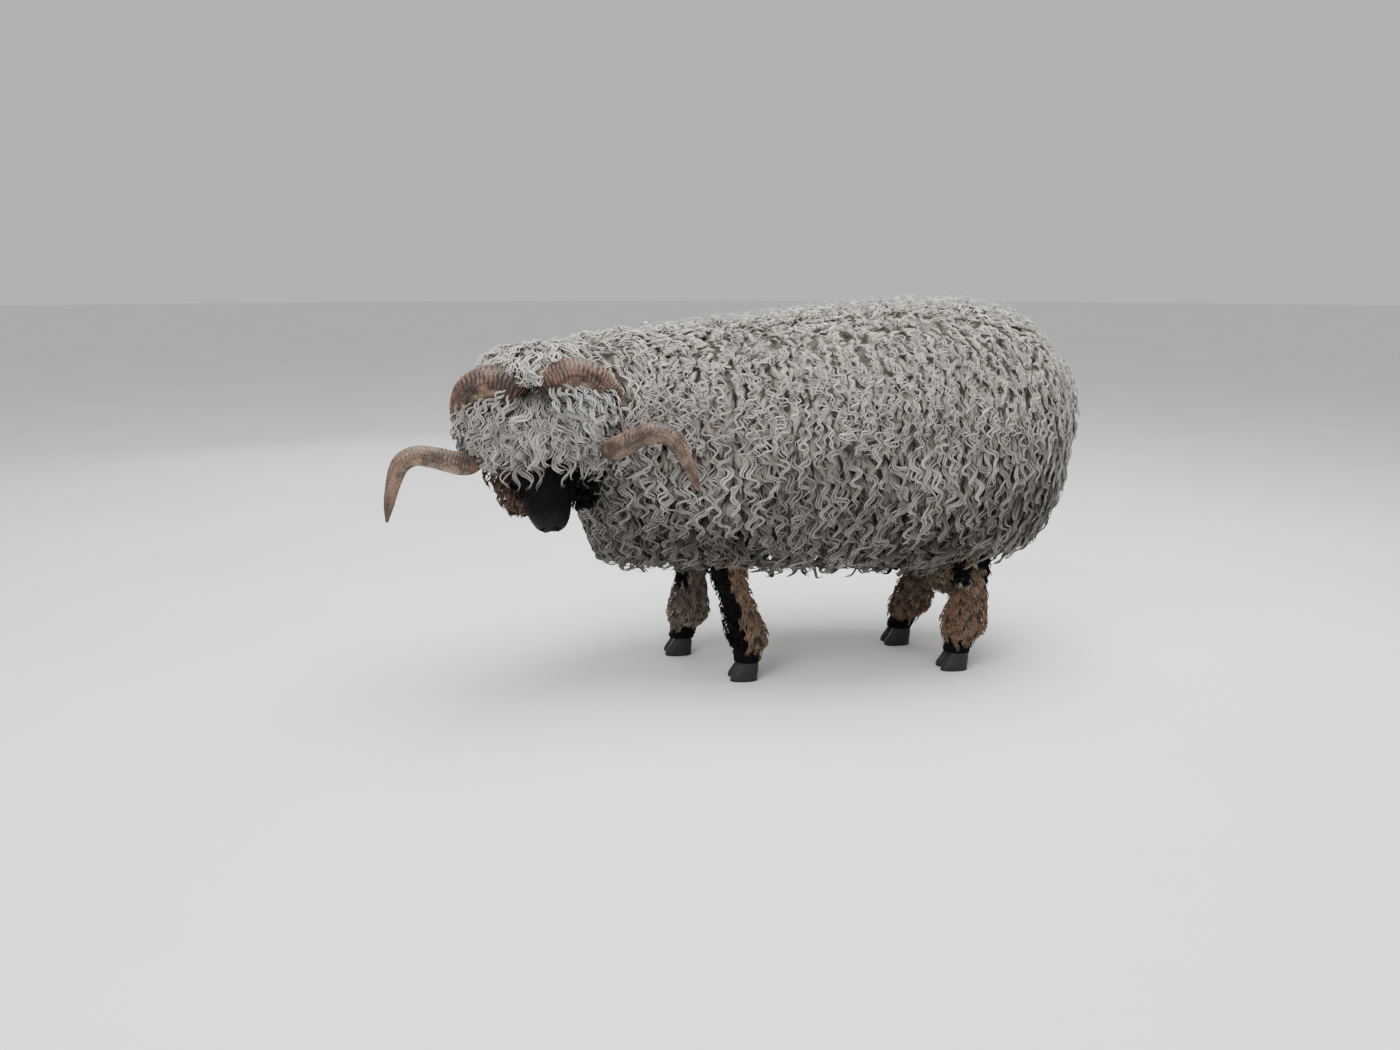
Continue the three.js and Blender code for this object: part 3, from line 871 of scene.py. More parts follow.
def stain_and_shade_mask(points):
    """How dirty or rusty the wool is, from 0 to 1, with painted shade of the light from above: more the lower it
    grows, in wandering patches.
    """
    wander = 0.5 + 0.5 * np.sin(points[:, 0] * 17 + 2 * np.sin(points[:, 1] * 13)) * np.sin(points[:, 2] * 19 + 1)
    # lower on the body: partly real soiling, partly painted shade of the light from above
    low = 1 - smooth(0.28, 0.88, points[:, 2])
    return np.clip(0.05 * wander + low * (0.88 + 0.32 * wander), 0, 0.97)


# %% [markdown]
# ## The lie of the coat
#
# A lock starts at its root, rises out of the fleece and lies down along the body. Gravity pulls it, and
# only the part of the pull along the surface moves it. Each lock is walked over the form in small steps,
# so it follows the body's roundness and never cuts a corner. Locks grow in small bundles whose members
# share one wave and draw together at the tip, which is what gives this breed its cords of curls. A
# simulation of hair could settle them too, but it would take far longer and come out as curves.

# %% Roots at equal distances over a form
FINE_ROWS, FINE_ROUND = 241, 121  # how finely a form is measured before its roots are spread


def roots(form, spacing, start=0.0, end=1.0, loose=0.8):
    """Rows at equal steps of length along the form, and on each row points at equal steps round it,
    both moved at random by a share of the spacing."""
    t, ring = np.linspace(start, end, FINE_ROWS), np.linspace(-np.pi, np.pi, FINE_ROUND)
    grid = form.at(t[:, None], ring[None, :])
    down = np.concatenate([[0], np.cumsum(np.linalg.norm(np.diff(grid, axis=0), axis=-1).mean(1))])
    rows = np.interp(np.arange(0.5, max(down[-1] / spacing, 1.5)) * spacing, down, t)
    found_t, found_angle = [], []
    for row in rows:
        line = form.at(np.full(FINE_ROUND, row), ring)
        round_it = np.concatenate([[0], np.cumsum(np.linalg.norm(np.diff(line, axis=0), axis=-1))])
        count = max(int(round(round_it[-1] / spacing)), 1)
        at = (np.arange(count) + RNG.uniform() + RNG.uniform(-0.5, 0.5, count) * loose) / count % 1
        found_angle.append(np.interp(at * round_it[-1], round_it, ring))
        shift = RNG.uniform(-0.5, 0.5, count) * loose * spacing
        found_t.append(np.interp(np.interp(row, t, down) + shift, down, t))
    return np.concatenate(found_t), np.concatenate(found_angle)


# %% Walking a lock over its form
NUDGE = 2e-3  # the small step by which slopes are measured


def slopes(form, t, angle, more):
    """The point, how it moves with t and with the angle, and the outward normal, by small steps."""
    t0, t1 = np.clip(t - NUDGE, 0, 1), np.clip(t + NUDGE, 0, 1)
    point = form.at(t, angle, more)
    by_t = (form.at(t1, angle, more) - form.at(t0, angle, more)) / (t1 - t0)[:, None]
    by_angle = (form.at(t, angle + NUDGE, more) - form.at(t, angle - NUDGE, more)) / (2 * NUDGE)
    centre = spline(form.rows, t)[:, :3] @ form.place[:3, :3].T + form.place[:3, 3]
    normal = unit(np.cross(by_t, by_angle))
    return point, by_t, by_angle, normal * np.sign(dot(normal, point - centre) + 1e-9)


RISEN = 0.55


def comb(form, t, angle, pull, reach, deep, high, steps, stray):
    """The paths of locks. At each step the pull's part along the surface moves (t, angle), found from
    the two slopes, while the height goes smoothly from deep below the outline to high above it over
    the first RISEN of the lock."""
    path, normals = [], []
    astray = RNG.normal(0, 1, (len(t), 3)) * np.broadcast_to(stray, len(t))[:, None]
    for s in np.linspace(0, 1, steps):
        more = -deep + (deep + high) * smooth(0, RISEN, s)
        point, by_t, by_angle, normal = slopes(form, t, angle, more)
        path.append(point)
        normals.append(normal)
        want = pull(point, normal) + astray
        want = want - normal * dot(want, normal)
        size = np.linalg.norm(want, axis=1, keepdims=True)
        want = want / np.maximum(size, 1e-6) * np.clip(size, 0.3, 1) * (reach / (steps - 1))[:, None]
        a, b, c = dot(by_t, by_t), dot(by_t, by_angle), dot(by_angle, by_angle)
        d, e = dot(want, by_t), dot(want, by_angle)
        det = np.maximum(a * c - b * b, 1e-9)
        t = np.clip(t + ((d * c - e * b) / det)[:, 0], 0, 1)
        angle = angle + np.clip(((e * a - d * b) / det)[:, 0], -0.5, 0.5)
    return np.stack(path, 1), np.stack(normals, 1)


# %% The meander of a lock
def running_sum(values):
    """The sum so far along axis 1, by the mean of neighbours, starting at 0."""
    steps = (values[:, 1:] + values[:, :-1]) / 2
    return np.concatenate([np.zeros((len(values), 1)), np.cumsum(steps, 1)], 1)


def meander(turn, curl, s):
    """How far ahead and beside its root a strand has got. As a river does, its heading swings by
    curl * sin(turn); ahead is the sum so far of the heading's cosine, and beside that of its sine."""
    heading = curl[:, None] * smooth(0.0, 0.25, s) * (0.9 + 0.25 * s) * np.sin(turn)
    return running_sum(np.cos(heading)), running_sum(np.sin(heading))


def wave_start(root, members, wavelength, unruly):
    """Where in its wave each strand starts: slow sines of its root's place, less one turn for each
    wavelength of height, so that neighbours swing together, and a random part that grows with unruly."""
    x, y, z = root.T
    slow = 2.4 * np.sin(x * 11 + y * 17) + 1.9 * np.sin(y * 29 - z * 13 + 2)
    lock = slow - 2 * np.pi * z / np.broadcast_to(wavelength, z.shape) + RNG.normal(0, unruly, len(z))
    alone = 0.18 + 0.2 * np.repeat(np.broadcast_to(unruly, z.shape), members)
    return np.repeat(lock, members) + RNG.normal(0, alone, len(alone))


# %% Bundles of strands from combed paths
TUBE_SIDES = 3
LIFT, SPIRAL = 0.3, 0.16  # how round a wave is, from flat to a spiral, whose radius is 0.16 of its length


def tube_rings(middle, normal, radius, flat):
    """Rings round each strand's middle: radius * (1.15 side * cos + flat * up * sin), side = normal x tangent."""
    tangent = unit(np.gradient(middle, axis=1))
    side = unit(np.cross(normal, tangent))
    up = np.cross(tangent, side)
    ring = np.arange(TUBE_SIDES) * 2 * np.pi / TUBE_SIDES + np.pi / 2
    return middle[:, :, None] + radius[:, :, None, None] * (
        side[:, :, None] * np.cos(ring)[:, None] * 1.15 + up[:, :, None] * np.sin(ring)[:, None] * flat
    )


def strands(path, normal, members, apart, curl, wavelength, width, flat=0.55, gather=0.6, blunt=0.2, unruly=0.7):
    """Closed tubes along the paths, and the length so far at each of their rings. The strands of a
    bundle meander beside each other and draw together to the share that gather says, and each narrows
    to the share that blunt says."""
    count, steps, _ = path.shape
    total, s = count * members, np.linspace(0, 1, steps)
    many = lambda v: np.repeat(np.broadcast_to(v, (count,)), members)
    reach = many(np.linalg.norm(np.diff(path, axis=1), axis=-1).sum(1))
    start = wave_start(path[:, 0], members, wavelength, unruly)
    curl, wavelength, width, apart = (many(v) for v in (curl, wavelength, width, apart))
    turn = 2 * np.pi * s * (0.85 + 0.3 * s) * (reach / wavelength)[:, None] + start[:, None]
    ahead, beside = meander(turn, curl, s)
    beside = (beside - beside.mean(1, keepdims=True) * s) * (reach / ahead[:, -1])[:, None]
    share = ahead / ahead[:, -1:] * (steps - 1) * RNG.uniform(0.88, 1, total)[:, None]
    i = np.minimum(share.astype(int), steps - 2)
    u = (share - i)[..., None]
    which = np.repeat(np.arange(count), members)[:, None]
    side = unit(np.cross(normal, unit(np.gradient(path, axis=1))))
    middle, side, normal = (v[which, i] * (1 - u) + v[which, i + 1] * u for v in (path, side, normal))
    row = (np.arange(total) % members - (members - 1) / 2) * 2 + RNG.uniform(-0.5, 0.5, total)
    closing = 1 - (1 - gather) * s
    across = beside + (row * apart)[:, None] * closing
    outward = (RNG.uniform(-0.7, 0.7, total) * apart)[:, None] * closing
    outward = outward + LIFT * (wavelength * SPIRAL)[:, None] * np.cos(turn) * smooth(0, 0.3, s)
    middle = middle + side * across[..., None] + normal * outward[..., None]
    steps_long = np.linalg.norm(np.diff(middle, axis=1), axis=-1)
    length = np.concatenate([np.zeros((total, 1)), np.cumsum(steps_long, 1)], 1)
    radius = width[:, None] / 2 * (0.5 + 0.5 * smooth(0, 0.25, s)) * (1 - (1 - blunt) * smooth(0.5, 1, s))
    return tube_rings(middle, normal, radius, flat), length


# %% One piece of coat from many strands
PATCH = 0.003  # the width of a strand's patch on the baked UV map


def strand_mesh(name, grid, length, root, dirt_and_shade, shade, finish, slot):
    """A piece of closed tubes. OFBake = the root's place on the unwrapped skin + PATCH * (share along,
    share round), and the map called strand = (metres along, share round)."""
    shape = count, steps, sides = grid.shape[:3]
    index = np.arange(count * steps * sides).reshape(shape)
    a, b = index[:, :-1], index[:, 1:]
    quads = np.stack([a, np.roll(a, -1, 2), np.roll(b, -1, 2), b], -1)
    s = np.broadcast_to(np.linspace(0, 1, steps)[None, :, None], shape)
    k = np.broadcast_to(np.arange(sides), shape)[:, :-1]
    long = np.broadcast_to(length[:, :, None], shape)
    four = lambda v: np.stack([v[:, :-1], v[:, :-1], v[:, 1:], v[:, 1:]], -1)
    ends = np.stack([index[:, 0, ::-1], index[:, -1]], 1)
    fan = np.stack([np.broadcast_to(ends[..., :1], ends[..., 2:].shape), ends[..., 1:-1], ends[..., 2:]], -1)
    full = lambda v: np.broadcast_to(v, fan.shape)
    tip, third = full(np.array([0, 1.0])[:, None, None]), full(np.arange(3) / 3)
    bake, along = [], []
    for share, metres, round_it in (
        (four(s), four(long), np.stack([k, k + 1, k + 1, k], -1) / sides),
        (tip, full(length[:, [0, -1]][:, :, None, None]), third),
    ):
        patch = root[:, None, None, None] + PATCH * np.stack([share, round_it], -1)
        bake.append(patch.reshape(-1, 2))
        along.append(np.stack([metres, round_it], -1).reshape(-1, 2))
    numbers = {"along": s, "tint": np.repeat(shade, steps * sides), "stain_and_shade": np.repeat(dirt_and_shade, steps * sides)}
    uvs = {"OFBake": np.vstack(bake), "strand": np.vstack(along)}
    faces = [quads.reshape(-1, 4), fan.reshape(-1, 3)]
    piece = add_mesh(name, grid.reshape(-1, 3), faces, uvs, finish, numbers)
    TRIANGLES[name] = 2 * len(faces[0]) + len(faces[1])
    print(name, "strands:", count, "triangles:", TRIANGLES[name])
    return finish_piece(piece, slot)


# %% One coat over one form
TRIANGLES = {}
PIECE_LIMIT = 190_000  # triangles
UNWRAP_START, UNWRAP_SIZE = 0.02, 0.95  # where a form's unwrapped skin lies in the UV square
OWN_TINT = 0.35  # how much of a strand's tint is its own and not its lock's


def between(low, high, plus=0.0, times=1.0):
    """times * (a random number from low to high) + plus for each lock, drawn when the coat is made."""
    return lambda count: times * RNG.uniform(low, high, count) + plus


def coat(name, form, t, angle, pull, finish, slot, *, reach, deep, high, steps, members, apart, curl,
         wavelength, width, stray=0.3, **shape):
    """Combs the roots, makes their strands and puts them into as many pieces as the limit asks."""
    reach, high, curl, wavelength, width = (
        v(len(t)) if callable(v) else v for v in (reach, high, curl, wavelength, width)
    )
    fill = lambda v: np.broadcast_to(np.asarray(v, float), t.shape)
    path, normal = comb(form, t, angle, pull, fill(reach), fill(deep), fill(high), steps, stray)
    grid, length = strands(path, normal, members, apart, curl, wavelength, width, **shape)
    root = UNWRAP_START + UNWRAP_SIZE * np.stack([t, angle / (2 * np.pi) % 1], -1)
    root, dirt_and_shade = np.repeat(root, members, 0), np.repeat(stain_and_shade_mask(path[:, 0]), members)
    of_lock = np.repeat(RNG.uniform(0, 1, len(t)), members)
    shade = (1 - OWN_TINT) * of_lock + OWN_TINT * RNG.uniform(0, 1, len(t) * members)
    each = 2 * (steps - 1) * TUBE_SIDES + 2 * (TUBE_SIDES - 2)
    parts = max(int(np.ceil(len(grid) * each / PIECE_LIMIT)), 1)
    for i, own in enumerate(np.array_split(np.arange(len(grid)), parts)):
        title = name if parts == 1 else f"{name}_{i + 1}"
        strand_mesh(title, grid[own], length[own], root[own], dirt_and_shade[own], shade[own], finish, slot)


# %% [markdown]
# ## Skin
#
# Under the wool is one skin. It could be sculpted, but tubes through the same stations, moved in by the
# depth of the coat and joined into one solid, stay true to the frame. Only the head shows its skin, so
# the head gets the finest grid, and its lids, lips and nostrils are worked into it.

# %% Shells of the skin: form, rings, points round, and the coat's depth in millimetres at places along
LEG_DEPTHS = [(0, 16), (0.25, 12), (0.3, 8), (0.5, 7), (0.6, 12), (0.74, 14), (0.82, 6), (0.9, 4), (1, 3)]
SHELLS = {
    "trunk": (trunk, 90, 72, [(0, 26), (0.12, 34), (0.9, 34), (1, 22)]),
    "neck": (neck, 60, 64, [(0, 30), (1, 24)]),
    "tail": (tail, 40, 24, [(0, 12), (0.7, 13), (1, 4)]),
    "scrotum": (scrotum, 40, 40, [(0, 9), (1, 4)]),
    **{n: (form, 110, 40, LEG_DEPTHS) for n, form in legs.items()},
    **{"ear_" + n: (form, 60, 40, [(0, 1), (1, 0.5)]) for n, form in ears.items()},
}
EAR_HOLLOW = 0.75


def shell(form, rings, around, depths, hollow=0.0):
    """A grid over the form, inside it by the depth of the coat; hollow dents one side, as in an ear."""
    t, angle = np.meshgrid(np.linspace(0, 1, rings), np.arange(around) * 2 * np.pi / around, indexing="ij")
    grid = form.at(t, angle, -np.interp(t, *zip(*depths)) * MM)
    if hollow:
        centre = grid.mean(1, keepdims=True)
        dent = np.exp(-(((angle + np.pi) % (2 * np.pi) - np.pi - 1.57) / 0.9) ** 2) * smooth(0, 0.35, t)
        grid = grid + (centre - grid) * (dent * hollow)[..., None]
    return grid


# %% [markdown]
# ### The head
#
# A sheep's head is a wedge with a long straight nose. Brows stand over eyes that look sideways, a
# groove runs down from each eye, and the nostrils are slits that curve up and out. Each feature is a
# smooth bump or dent whose place is known, so it can be moved and measured. Sculpting can't be rerun.

# %% Bumps and dents of the head
FEATURES = [  # place, spread and height in millimetres, on both sides
    ((52, 112, -14), (22, 24, 16), 5.0),  # brow
    ((60, 150, -62), (24, 22, 16), -4.5),  # groove under the eye
    ((62, 176, -84), (26, 34, 7), 3.0),  # ridge of the cheek
    ((66, 96, -118), (26, 34, 24), 4.0),  # jaw
    ((0, 215, -8), (15, 52, 30), 3.0),  # bridge of the nose
    ((30, 226, -30), (12, 34, 14), -2.6),  # hollow beside the bridge
    ((24, 292, -58), (11, 10, 9), 2.6),  # wing of the nostril
    ((0, 302, -116), (16, 13, 9), 3.0),  # chin
]


def bump_at(local, spot, spread, height):
    """height * exp(-(distance / spread)^2), mirrored to both sides."""
    away = np.abs(local[..., 0]) - spot[0], local[..., 1] - spot[1], local[..., 2] - spot[2]
    return height * np.exp(-sum((a / s) ** 2 for a, s in zip(away, spread)))


def face_relief(local):
    """How far each point moves out, in millimetres: bumps, nostril slits, the cleft of the upper lip,
    and the mouth's line with a lip on each side of it."""
    x, y, z = np.moveaxis(local, -1, 0)
    side = np.abs(x)
    move = sum(bump_at(local, *feature) for feature in FEATURES)
    slit = np.hypot((side - 13 - 0.55 * (-66 - z)) / 3.4, np.clip(np.abs(z + 70) - 6, 0, None) / 2.6)
    move -= 8.5 * np.exp(-slit**2) * smooth(288, 302, y)
    move -= 2.4 * np.exp(-((x / 1.6) ** 2)) * smooth(300, 312, y) * smooth(-108, -98, z) * (1 - smooth(-76, -70, z))
    lip = z - (-101 + 0.16 * (316 - y) + 0.07 * side)
    mouth = smooth(236, 252, y)
    move -= 4.2 * np.exp(-((lip / 2.0) ** 2)) * mouth
    move += 1.8 * (np.exp(-(((lip - 6) / 4.5) ** 2)) + np.exp(-(((lip + 6) / 4.5) ** 2))) * mouth
    return move


# %% Eyes and lids of the head
def eye_axes(s):
    """Out of the eye, along the opening between its lids, and across that opening."""
    axis = unit([EYE_WAY[0] * s, *EYE_WAY[1:]])
    long = unit(np.array([0, 1, 0]) - axis * axis[1])
    return axis, long, np.cross(axis, long)


def round_the_eye(local, s):
    """The points near one eye, pulled onto a ball round it: 11 mm out in the almond opening, 16.6 mm
    and more on the lids, with a fold behind them."""
    eye = EYE_AT / MM * (s, 1, 1)
    axis, long, high = eye_axes(s)
    off = local - eye
    u, v, w = off @ long, off @ high * s, off @ axis
    near = (1 - smooth(17, 30, np.hypot(u, v))) * (w > -6)
    opening = np.hypot(u / 13.5, v / (6.6 - 0.016 * u**2))
    lid = np.where(opening < 1, 11.0, 16.6 + 1.5 * np.exp(-(((opening - 1.12) / 0.16) ** 2)))
    lid = lid - 0.9 * np.exp(-(((opening - 1.75) / 0.2) ** 2))
    ball = eye + unit(off) * lid[..., None]
    return local + (ball - local) * near[..., None]


# %% The head's grid
HEAD_RINGS, HEAD_AROUND = 210, 168
FACE_INSET, MUZZLE_OUT = 4 * MM, 6.5 * MM  # the skin lies inside the outline, but the muzzle grows past it


def muzzle_swell(t):
    """How much wider than the rest the muzzle is, in metres, at t along the head."""
    return MUZZLE_OUT * smooth(0.50, 0.68, t)


def head_grid():
    """The head's tube 4 mm inside its outline, or 2.5 mm outside it at the muzzle, moved along its
    normals by the face's relief, then pulled onto a ball round each eye."""
    t = np.linspace(0, 1, HEAD_RINGS) ** 0.9
    t, angle = np.meshgrid(t, np.arange(HEAD_AROUND) * 2 * np.pi / HEAD_AROUND, indexing="ij")
    local = in_head(head.at(t, angle, -FACE_INSET + muzzle_swell(t)))
    centre = local.mean(1, keepdims=True)
    normal = unit(np.cross(np.gradient(local, axis=1), np.gradient(local, axis=0)))
    normal = normal * np.sign(dot(normal, local - centre) + 1e-9)
    local = local + normal * face_relief(local)[..., None]
    for s in SIDES.values():
        local = round_the_eye(local, s)
    return (local * MM) @ HEAD_PLACE[:3, :3].T + HEAD_PLACE[:3, 3]


# %% Joining the shells into one skin
ISLAND, MARGIN = 0.24, 0.01  # the UV square holds four by four islands


def shell_piece(name, grid, column, row):
    """A closed tube with its own UV island."""
    points, faces, uv = closed_surface(grid)
    uv = np.array([column, row]) * ISLAND + MARGIN + uv * (ISLAND - 2 * MARGIN)
    return add_mesh(name, points, faces, {"OFBake": uv}, skin_finish)


skin = shell_piece("skin", head_grid(), 0, 3)
for i, (name, (form, rings, around, depths)) in enumerate(SHELLS.items()):
    grid = shell(form, rings, around, depths, EAR_HOLLOW if name.startswith("ear") else 0)
    other = shell_piece(name + "_shell", grid, i % 4, i // 4 % 3)
    join = skin.modifiers.new("join", "BOOLEAN")
    join.operation, join.solver, join.object = "UNION", "MANIFOLD", other
    bpy.context.view_layer.update()
    joined = bpy.data.meshes.new_from_object(skin.evaluated_get(bpy.context.evaluated_depsgraph_get()))
    skin.modifiers.clear()
    skin.data = joined
    bpy.data.objects.remove(other)
print("shells joined:", 1 + len(SHELLS), "faces:", len(skin.data.polygons))

# %% The skin's finish, numbers and nodes
skin.data.name = "skin"
skin.data.materials.clear()
skin.data.materials.append(skin_finish)
skin.data.polygons.foreach_set("use_smooth", np.ones(len(skin.data.polygons), bool))
where = np.empty(len(skin.data.vertices) * 3, np.float32)
skin.data.vertices.foreach_get("co", where)
where = where.reshape(-1, 3).astype(float)
x, y, z = in_head(where).T
set_numbers(skin.data, "black", black_mask(where))
set_numbers(skin.data, "bare", smooth(272, 300, y) * (y < 340) * (np.abs(x) < 60) * (np.abs(z + 80) < 70))
FLESH = [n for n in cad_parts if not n.startswith(("horn", "eye")) and "claw" not in n]
finish_piece(skin, "black_coat", *FLESH)
print("skin vertices:", len(where), "stands for", len(FLESH), "nodes")

# %% [markdown]
# ## Horns
#
# A ram's horn grows a ring at a time. The rings crowd at the base and fade towards the tip, and a keel
# runs along the outer edge. Rings could be bump in the finish, but here they are real relief, because
# they show against the light.

# %% Horns with growth rings and a keel
HORN_RINGS, HORN_AROUND = 540, 36
RING_PITCH, RING_DEPTH, KEEL_HEIGHT = 6.4, 3.2, 1.5
BROW_WARD = HEAD_PLACE[:3, :3] @ unit([0.0, 0.88, 0.47])


def even_steps(form):
    """The form's length, and t at equal steps of length along it."""
    fine = np.linspace(0, 1, 400)
    path = spline(form.rows, fine)[:, :3]
    length = np.concatenate([[0], np.cumsum(np.linalg.norm(np.diff(path, axis=0), axis=1))])
    return length[-1], np.interp(np.linspace(0, length[-1], HORN_RINGS), length, fine)


def horn_piece(name, form):
    """The horn's tube, moved out by ridge = depth * (rounded wave of length / pitch), where the wave is
    bent round the horn, and depth fades with length; a keel lifts one edge."""
    full, t = even_steps(form)
    tt, aa = np.meshgrid(t, np.arange(HORN_AROUND) * 2 * np.pi / HORN_AROUND, indexing="ij")
    ll = (np.linspace(0, full, HORN_RINGS) / MM)[:, None]
    crowd = ll + 2.6 * np.sin(2 * aa + ll / 33) + 1.3 * np.sin(9 * aa + 1 + ll / 9) + 2.6 * np.sin(ll / 11.0)
    wave = 0.5 + 0.5 * np.cos(2 * np.pi * crowd / RING_PITCH)
    fade = np.interp(ll / full * MM, [0, 0.35, 0.6, 1], [1, 0.9, 0.6, 0.2])
    outward = unit(form.at(tt, aa) - form.at(tt, aa, -20 * MM).mean(1, keepdims=True))
    facing = (outward @ BROW_WARD) + 0.10 * np.sin(ll / 7.0) * np.sin(ll / 19.0 + 1)
    inner = smooth(0.85, 0.95, facing)
    keel = np.exp(-(((facing - 0.78) / 0.08) ** 2))
    ridge = (wave**0.7 - 0.5) * RING_DEPTH * fade * (1 - 0.6 * inner) + KEEL_HEIGHT * keel * fade
    lumps = 0.6 * np.sin(aa * 3 + ll / 29) * np.sin(ll / 41 + aa)
    grid = form.at(tt, aa, (ridge + lumps - 1.2) * MM * smooth(0, 0.06, 1 - tt))
    uneven = 0.74 + 0.26 * np.sin(ll / 6.3 + 3 * np.sin(aa * 2 + ll / 40))
    edge = 0.9 * np.exp(-(((facing - 0.83) / 0.04) ** 2))
    ring = ((1 - smooth(0.10, 0.50, wave)) * uneven * (1 - 0.45 * inner) + edge) * fade
    numbers = {"along": ll / ll[-1], "ring": np.clip(ring, 0, 1), "inner": inner}
    numbers = {key: with_ends(values, tt.shape) for key, values in numbers.items()}
    points, faces, uv = closed_surface(grid)
    uvs = {"OFBake": inset(uv), "strand": uv}
    print(name, "length", round(full, 3), "m")
    return finish_piece(add_mesh(name + "_ringed", points, faces, uvs, horn_finish, numbers), "horn", name)


for n, form in horns.items():
    horn_piece("horn_" + n, form)


# %% [markdown]
# ## Claws
#
# A sheep walks on two claws a foot. They show faint rings, as horns do. The frame's claws are smooth,
# so each gets a new shell with the rings as relief, fitted to its node's box.

# %% Claws
def claw_piece(node_name):
    """The claw's tube with shallow rings: out by 0.35 mm * cos(2 pi height / 5 mm)."""
    low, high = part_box(node_name)
    middle, front = (low.x + high.x) / 2 / MM, low.y / MM + 40
    form = Form([(middle, front + y, z, *rest) for y, z, *rest in CLAW], (0, -1, 0), DOWN)
    t, angle = np.meshgrid(np.linspace(0, 1, 44), np.arange(32) * 2 * np.pi / 32, indexing="ij")
    height = 46 * (1 - t)
    rings = 0.35 * np.cos(2 * np.pi * (height + np.sin(angle * 2)) / 5) * smooth(0, 0.1, 1 - t)
    edge = -1.2 * smooth(0.95, 1, t)
    points, faces, uv = closed_surface(form.at(t, angle, (rings + edge - 0.3) * MM))
    piece = add_mesh(node_name + "_ringed", points, faces, {"OFBake": inset(uv)}, hoof_finish)
    return finish_piece(piece, "hoof", node_name)


CLAW_NODES = [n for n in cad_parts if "claw" in n]
for n in CLAW_NODES:
    claw_piece(n)
print("claws:", len(CLAW_NODES))

# %% [markdown]
# ## Eyes
#
# The eye is a ball with a clear bulge, an amber iris and the level slot of a pupil that all sheep have.
# The bulge is in the shape, and the slot is a number at the points, so the finish needs no picture.

# %% Eyes
def eye_piece(n, s):
    """A ball round the eye's axis, radius * (1 + 0.07 * exp(-(t / 0.5)^2)) at the angle t from it. The
    pupil is where a squared-off ellipse of 0.34 by 0.13 of the radius lies."""
    axis, long, high = eye_axes(s)
    t, angle = np.meshgrid(np.linspace(0.01, 1, 48) * np.pi / 1.02, np.arange(64) * 2 * np.pi / 64, indexing="ij")
    u, v = np.sin(t) * np.cos(angle), np.sin(t) * np.sin(angle)
    radius = EYE_RADIUS / MM * 0.985 * (1 + 0.07 * np.exp(-((t / 0.5) ** 2)))
    grid = u[..., None] * long + v[..., None] * high + np.cos(t)[..., None] * axis
    grid = EYE_AT / MM * (s, 1, 1) + radius[..., None] * grid
    pupil = 1 - smooth(0.9, 1.1, ((np.abs(u) / 0.34) ** 2.6 + (np.abs(v) / 0.13) ** 2.6) ** 0.5)
    rim = smooth(0.55, 0.66, np.hypot(u, v)) + (t > 1.5)
    points, faces, uv = closed_surface((grid * MM) @ HEAD_PLACE[:3, :3].T + HEAD_PLACE[:3, 3])
    numbers = {"pupil": with_ends(pupil, t.shape), "rim": with_ends(rim, t.shape)}
    eye = add_mesh("eye_" + n + "_ball", points, faces, {"OFBake": inset(uv)}, eye_finish, numbers)
    return finish_piece(eye, "eye", "eye_" + n)


print("eyes:", [eye_piece(n, s).name for n, s in SIDES.items()])

# %% [markdown]
# ## Fleece
#
# The fleece is the animal. On the flanks the cords of curls are long and swing in slow waves, on the
# back they are short and tight, on the neck and chest they hang, and at the crown they part between the
# horns and fall over the face. One kind of lock everywhere would be less work, but it reads as a rug.

# %% Pulls, and roots that keep clear of other forms
def falling(point, normal):
    """Straight down, a little towards the tail on the flat of the back, and a little at random."""
    x, y, z = point.T
    back = smooth(0.6, 1.0, normal[:, 2:3])
    wild = np.stack([np.sin(y * 61 + z * 23), np.sin(x * 53 + z * 37), 0 * x], -1)
    return np.array([0, 0, -1.0]) + np.array([0, 0.35, 0]) * back + 0.22 * wild


def clear_roots(form, spacing, start=0.0, end=1.0, clear_of=()):
    """Roots over the form that lie in none of the other forms, each given with its margin."""
    t, angle = roots(form, spacing, start, end)
    for other, margin in clear_of:
        free = ~other.inside(form.at(t, angle), margin)
        t, angle = t[free], angle[free]
    return t, angle


# %% Under layer and curls
def under_coat(name, form, start, end, clear_of):
    """An under layer of broad, almost straight locks that fills the fleece between the curls."""
    t, angle = clear_roots(form, 0.0235, start, end, clear_of)
    coat(name + "_under", form, t, angle, falling, UNDER_WOOL, "cream_wool",
         reach=between(0.045, 0.075), deep=0.02, high=between(-0.012, -0.006), steps=5, members=1, apart=0.004,
         curl=0.35, wavelength=0.06, width=between(0.014, 0.021), flat=0.35)


def curl_roots(form, start, end, spacing, clear_of):
    """Roots of the curls, fewer under the belly, and how low each lies, from 0 above to 1 below."""
    t, angle = clear_roots(form, spacing, start, end, clear_of)
    spot, _, _, out = slopes(form, t, angle, 0.0)
    free = (out[:, 2] > -0.70) | (RNG.uniform(size=len(t)) < 0.35)
    return t[free], angle[free], 1 - smooth(0.36, 0.80, spot[free, 2])


# %% [markdown]
# ### Back and flanks
#
# Over the back the curls are small, and lower down each lock is a cord of three strands that swings to
# and fro as it hangs. The two meet where the trunk turns downwards. Wavelength, width and length grow
# with how low a lock grows, so no edge shows between them.

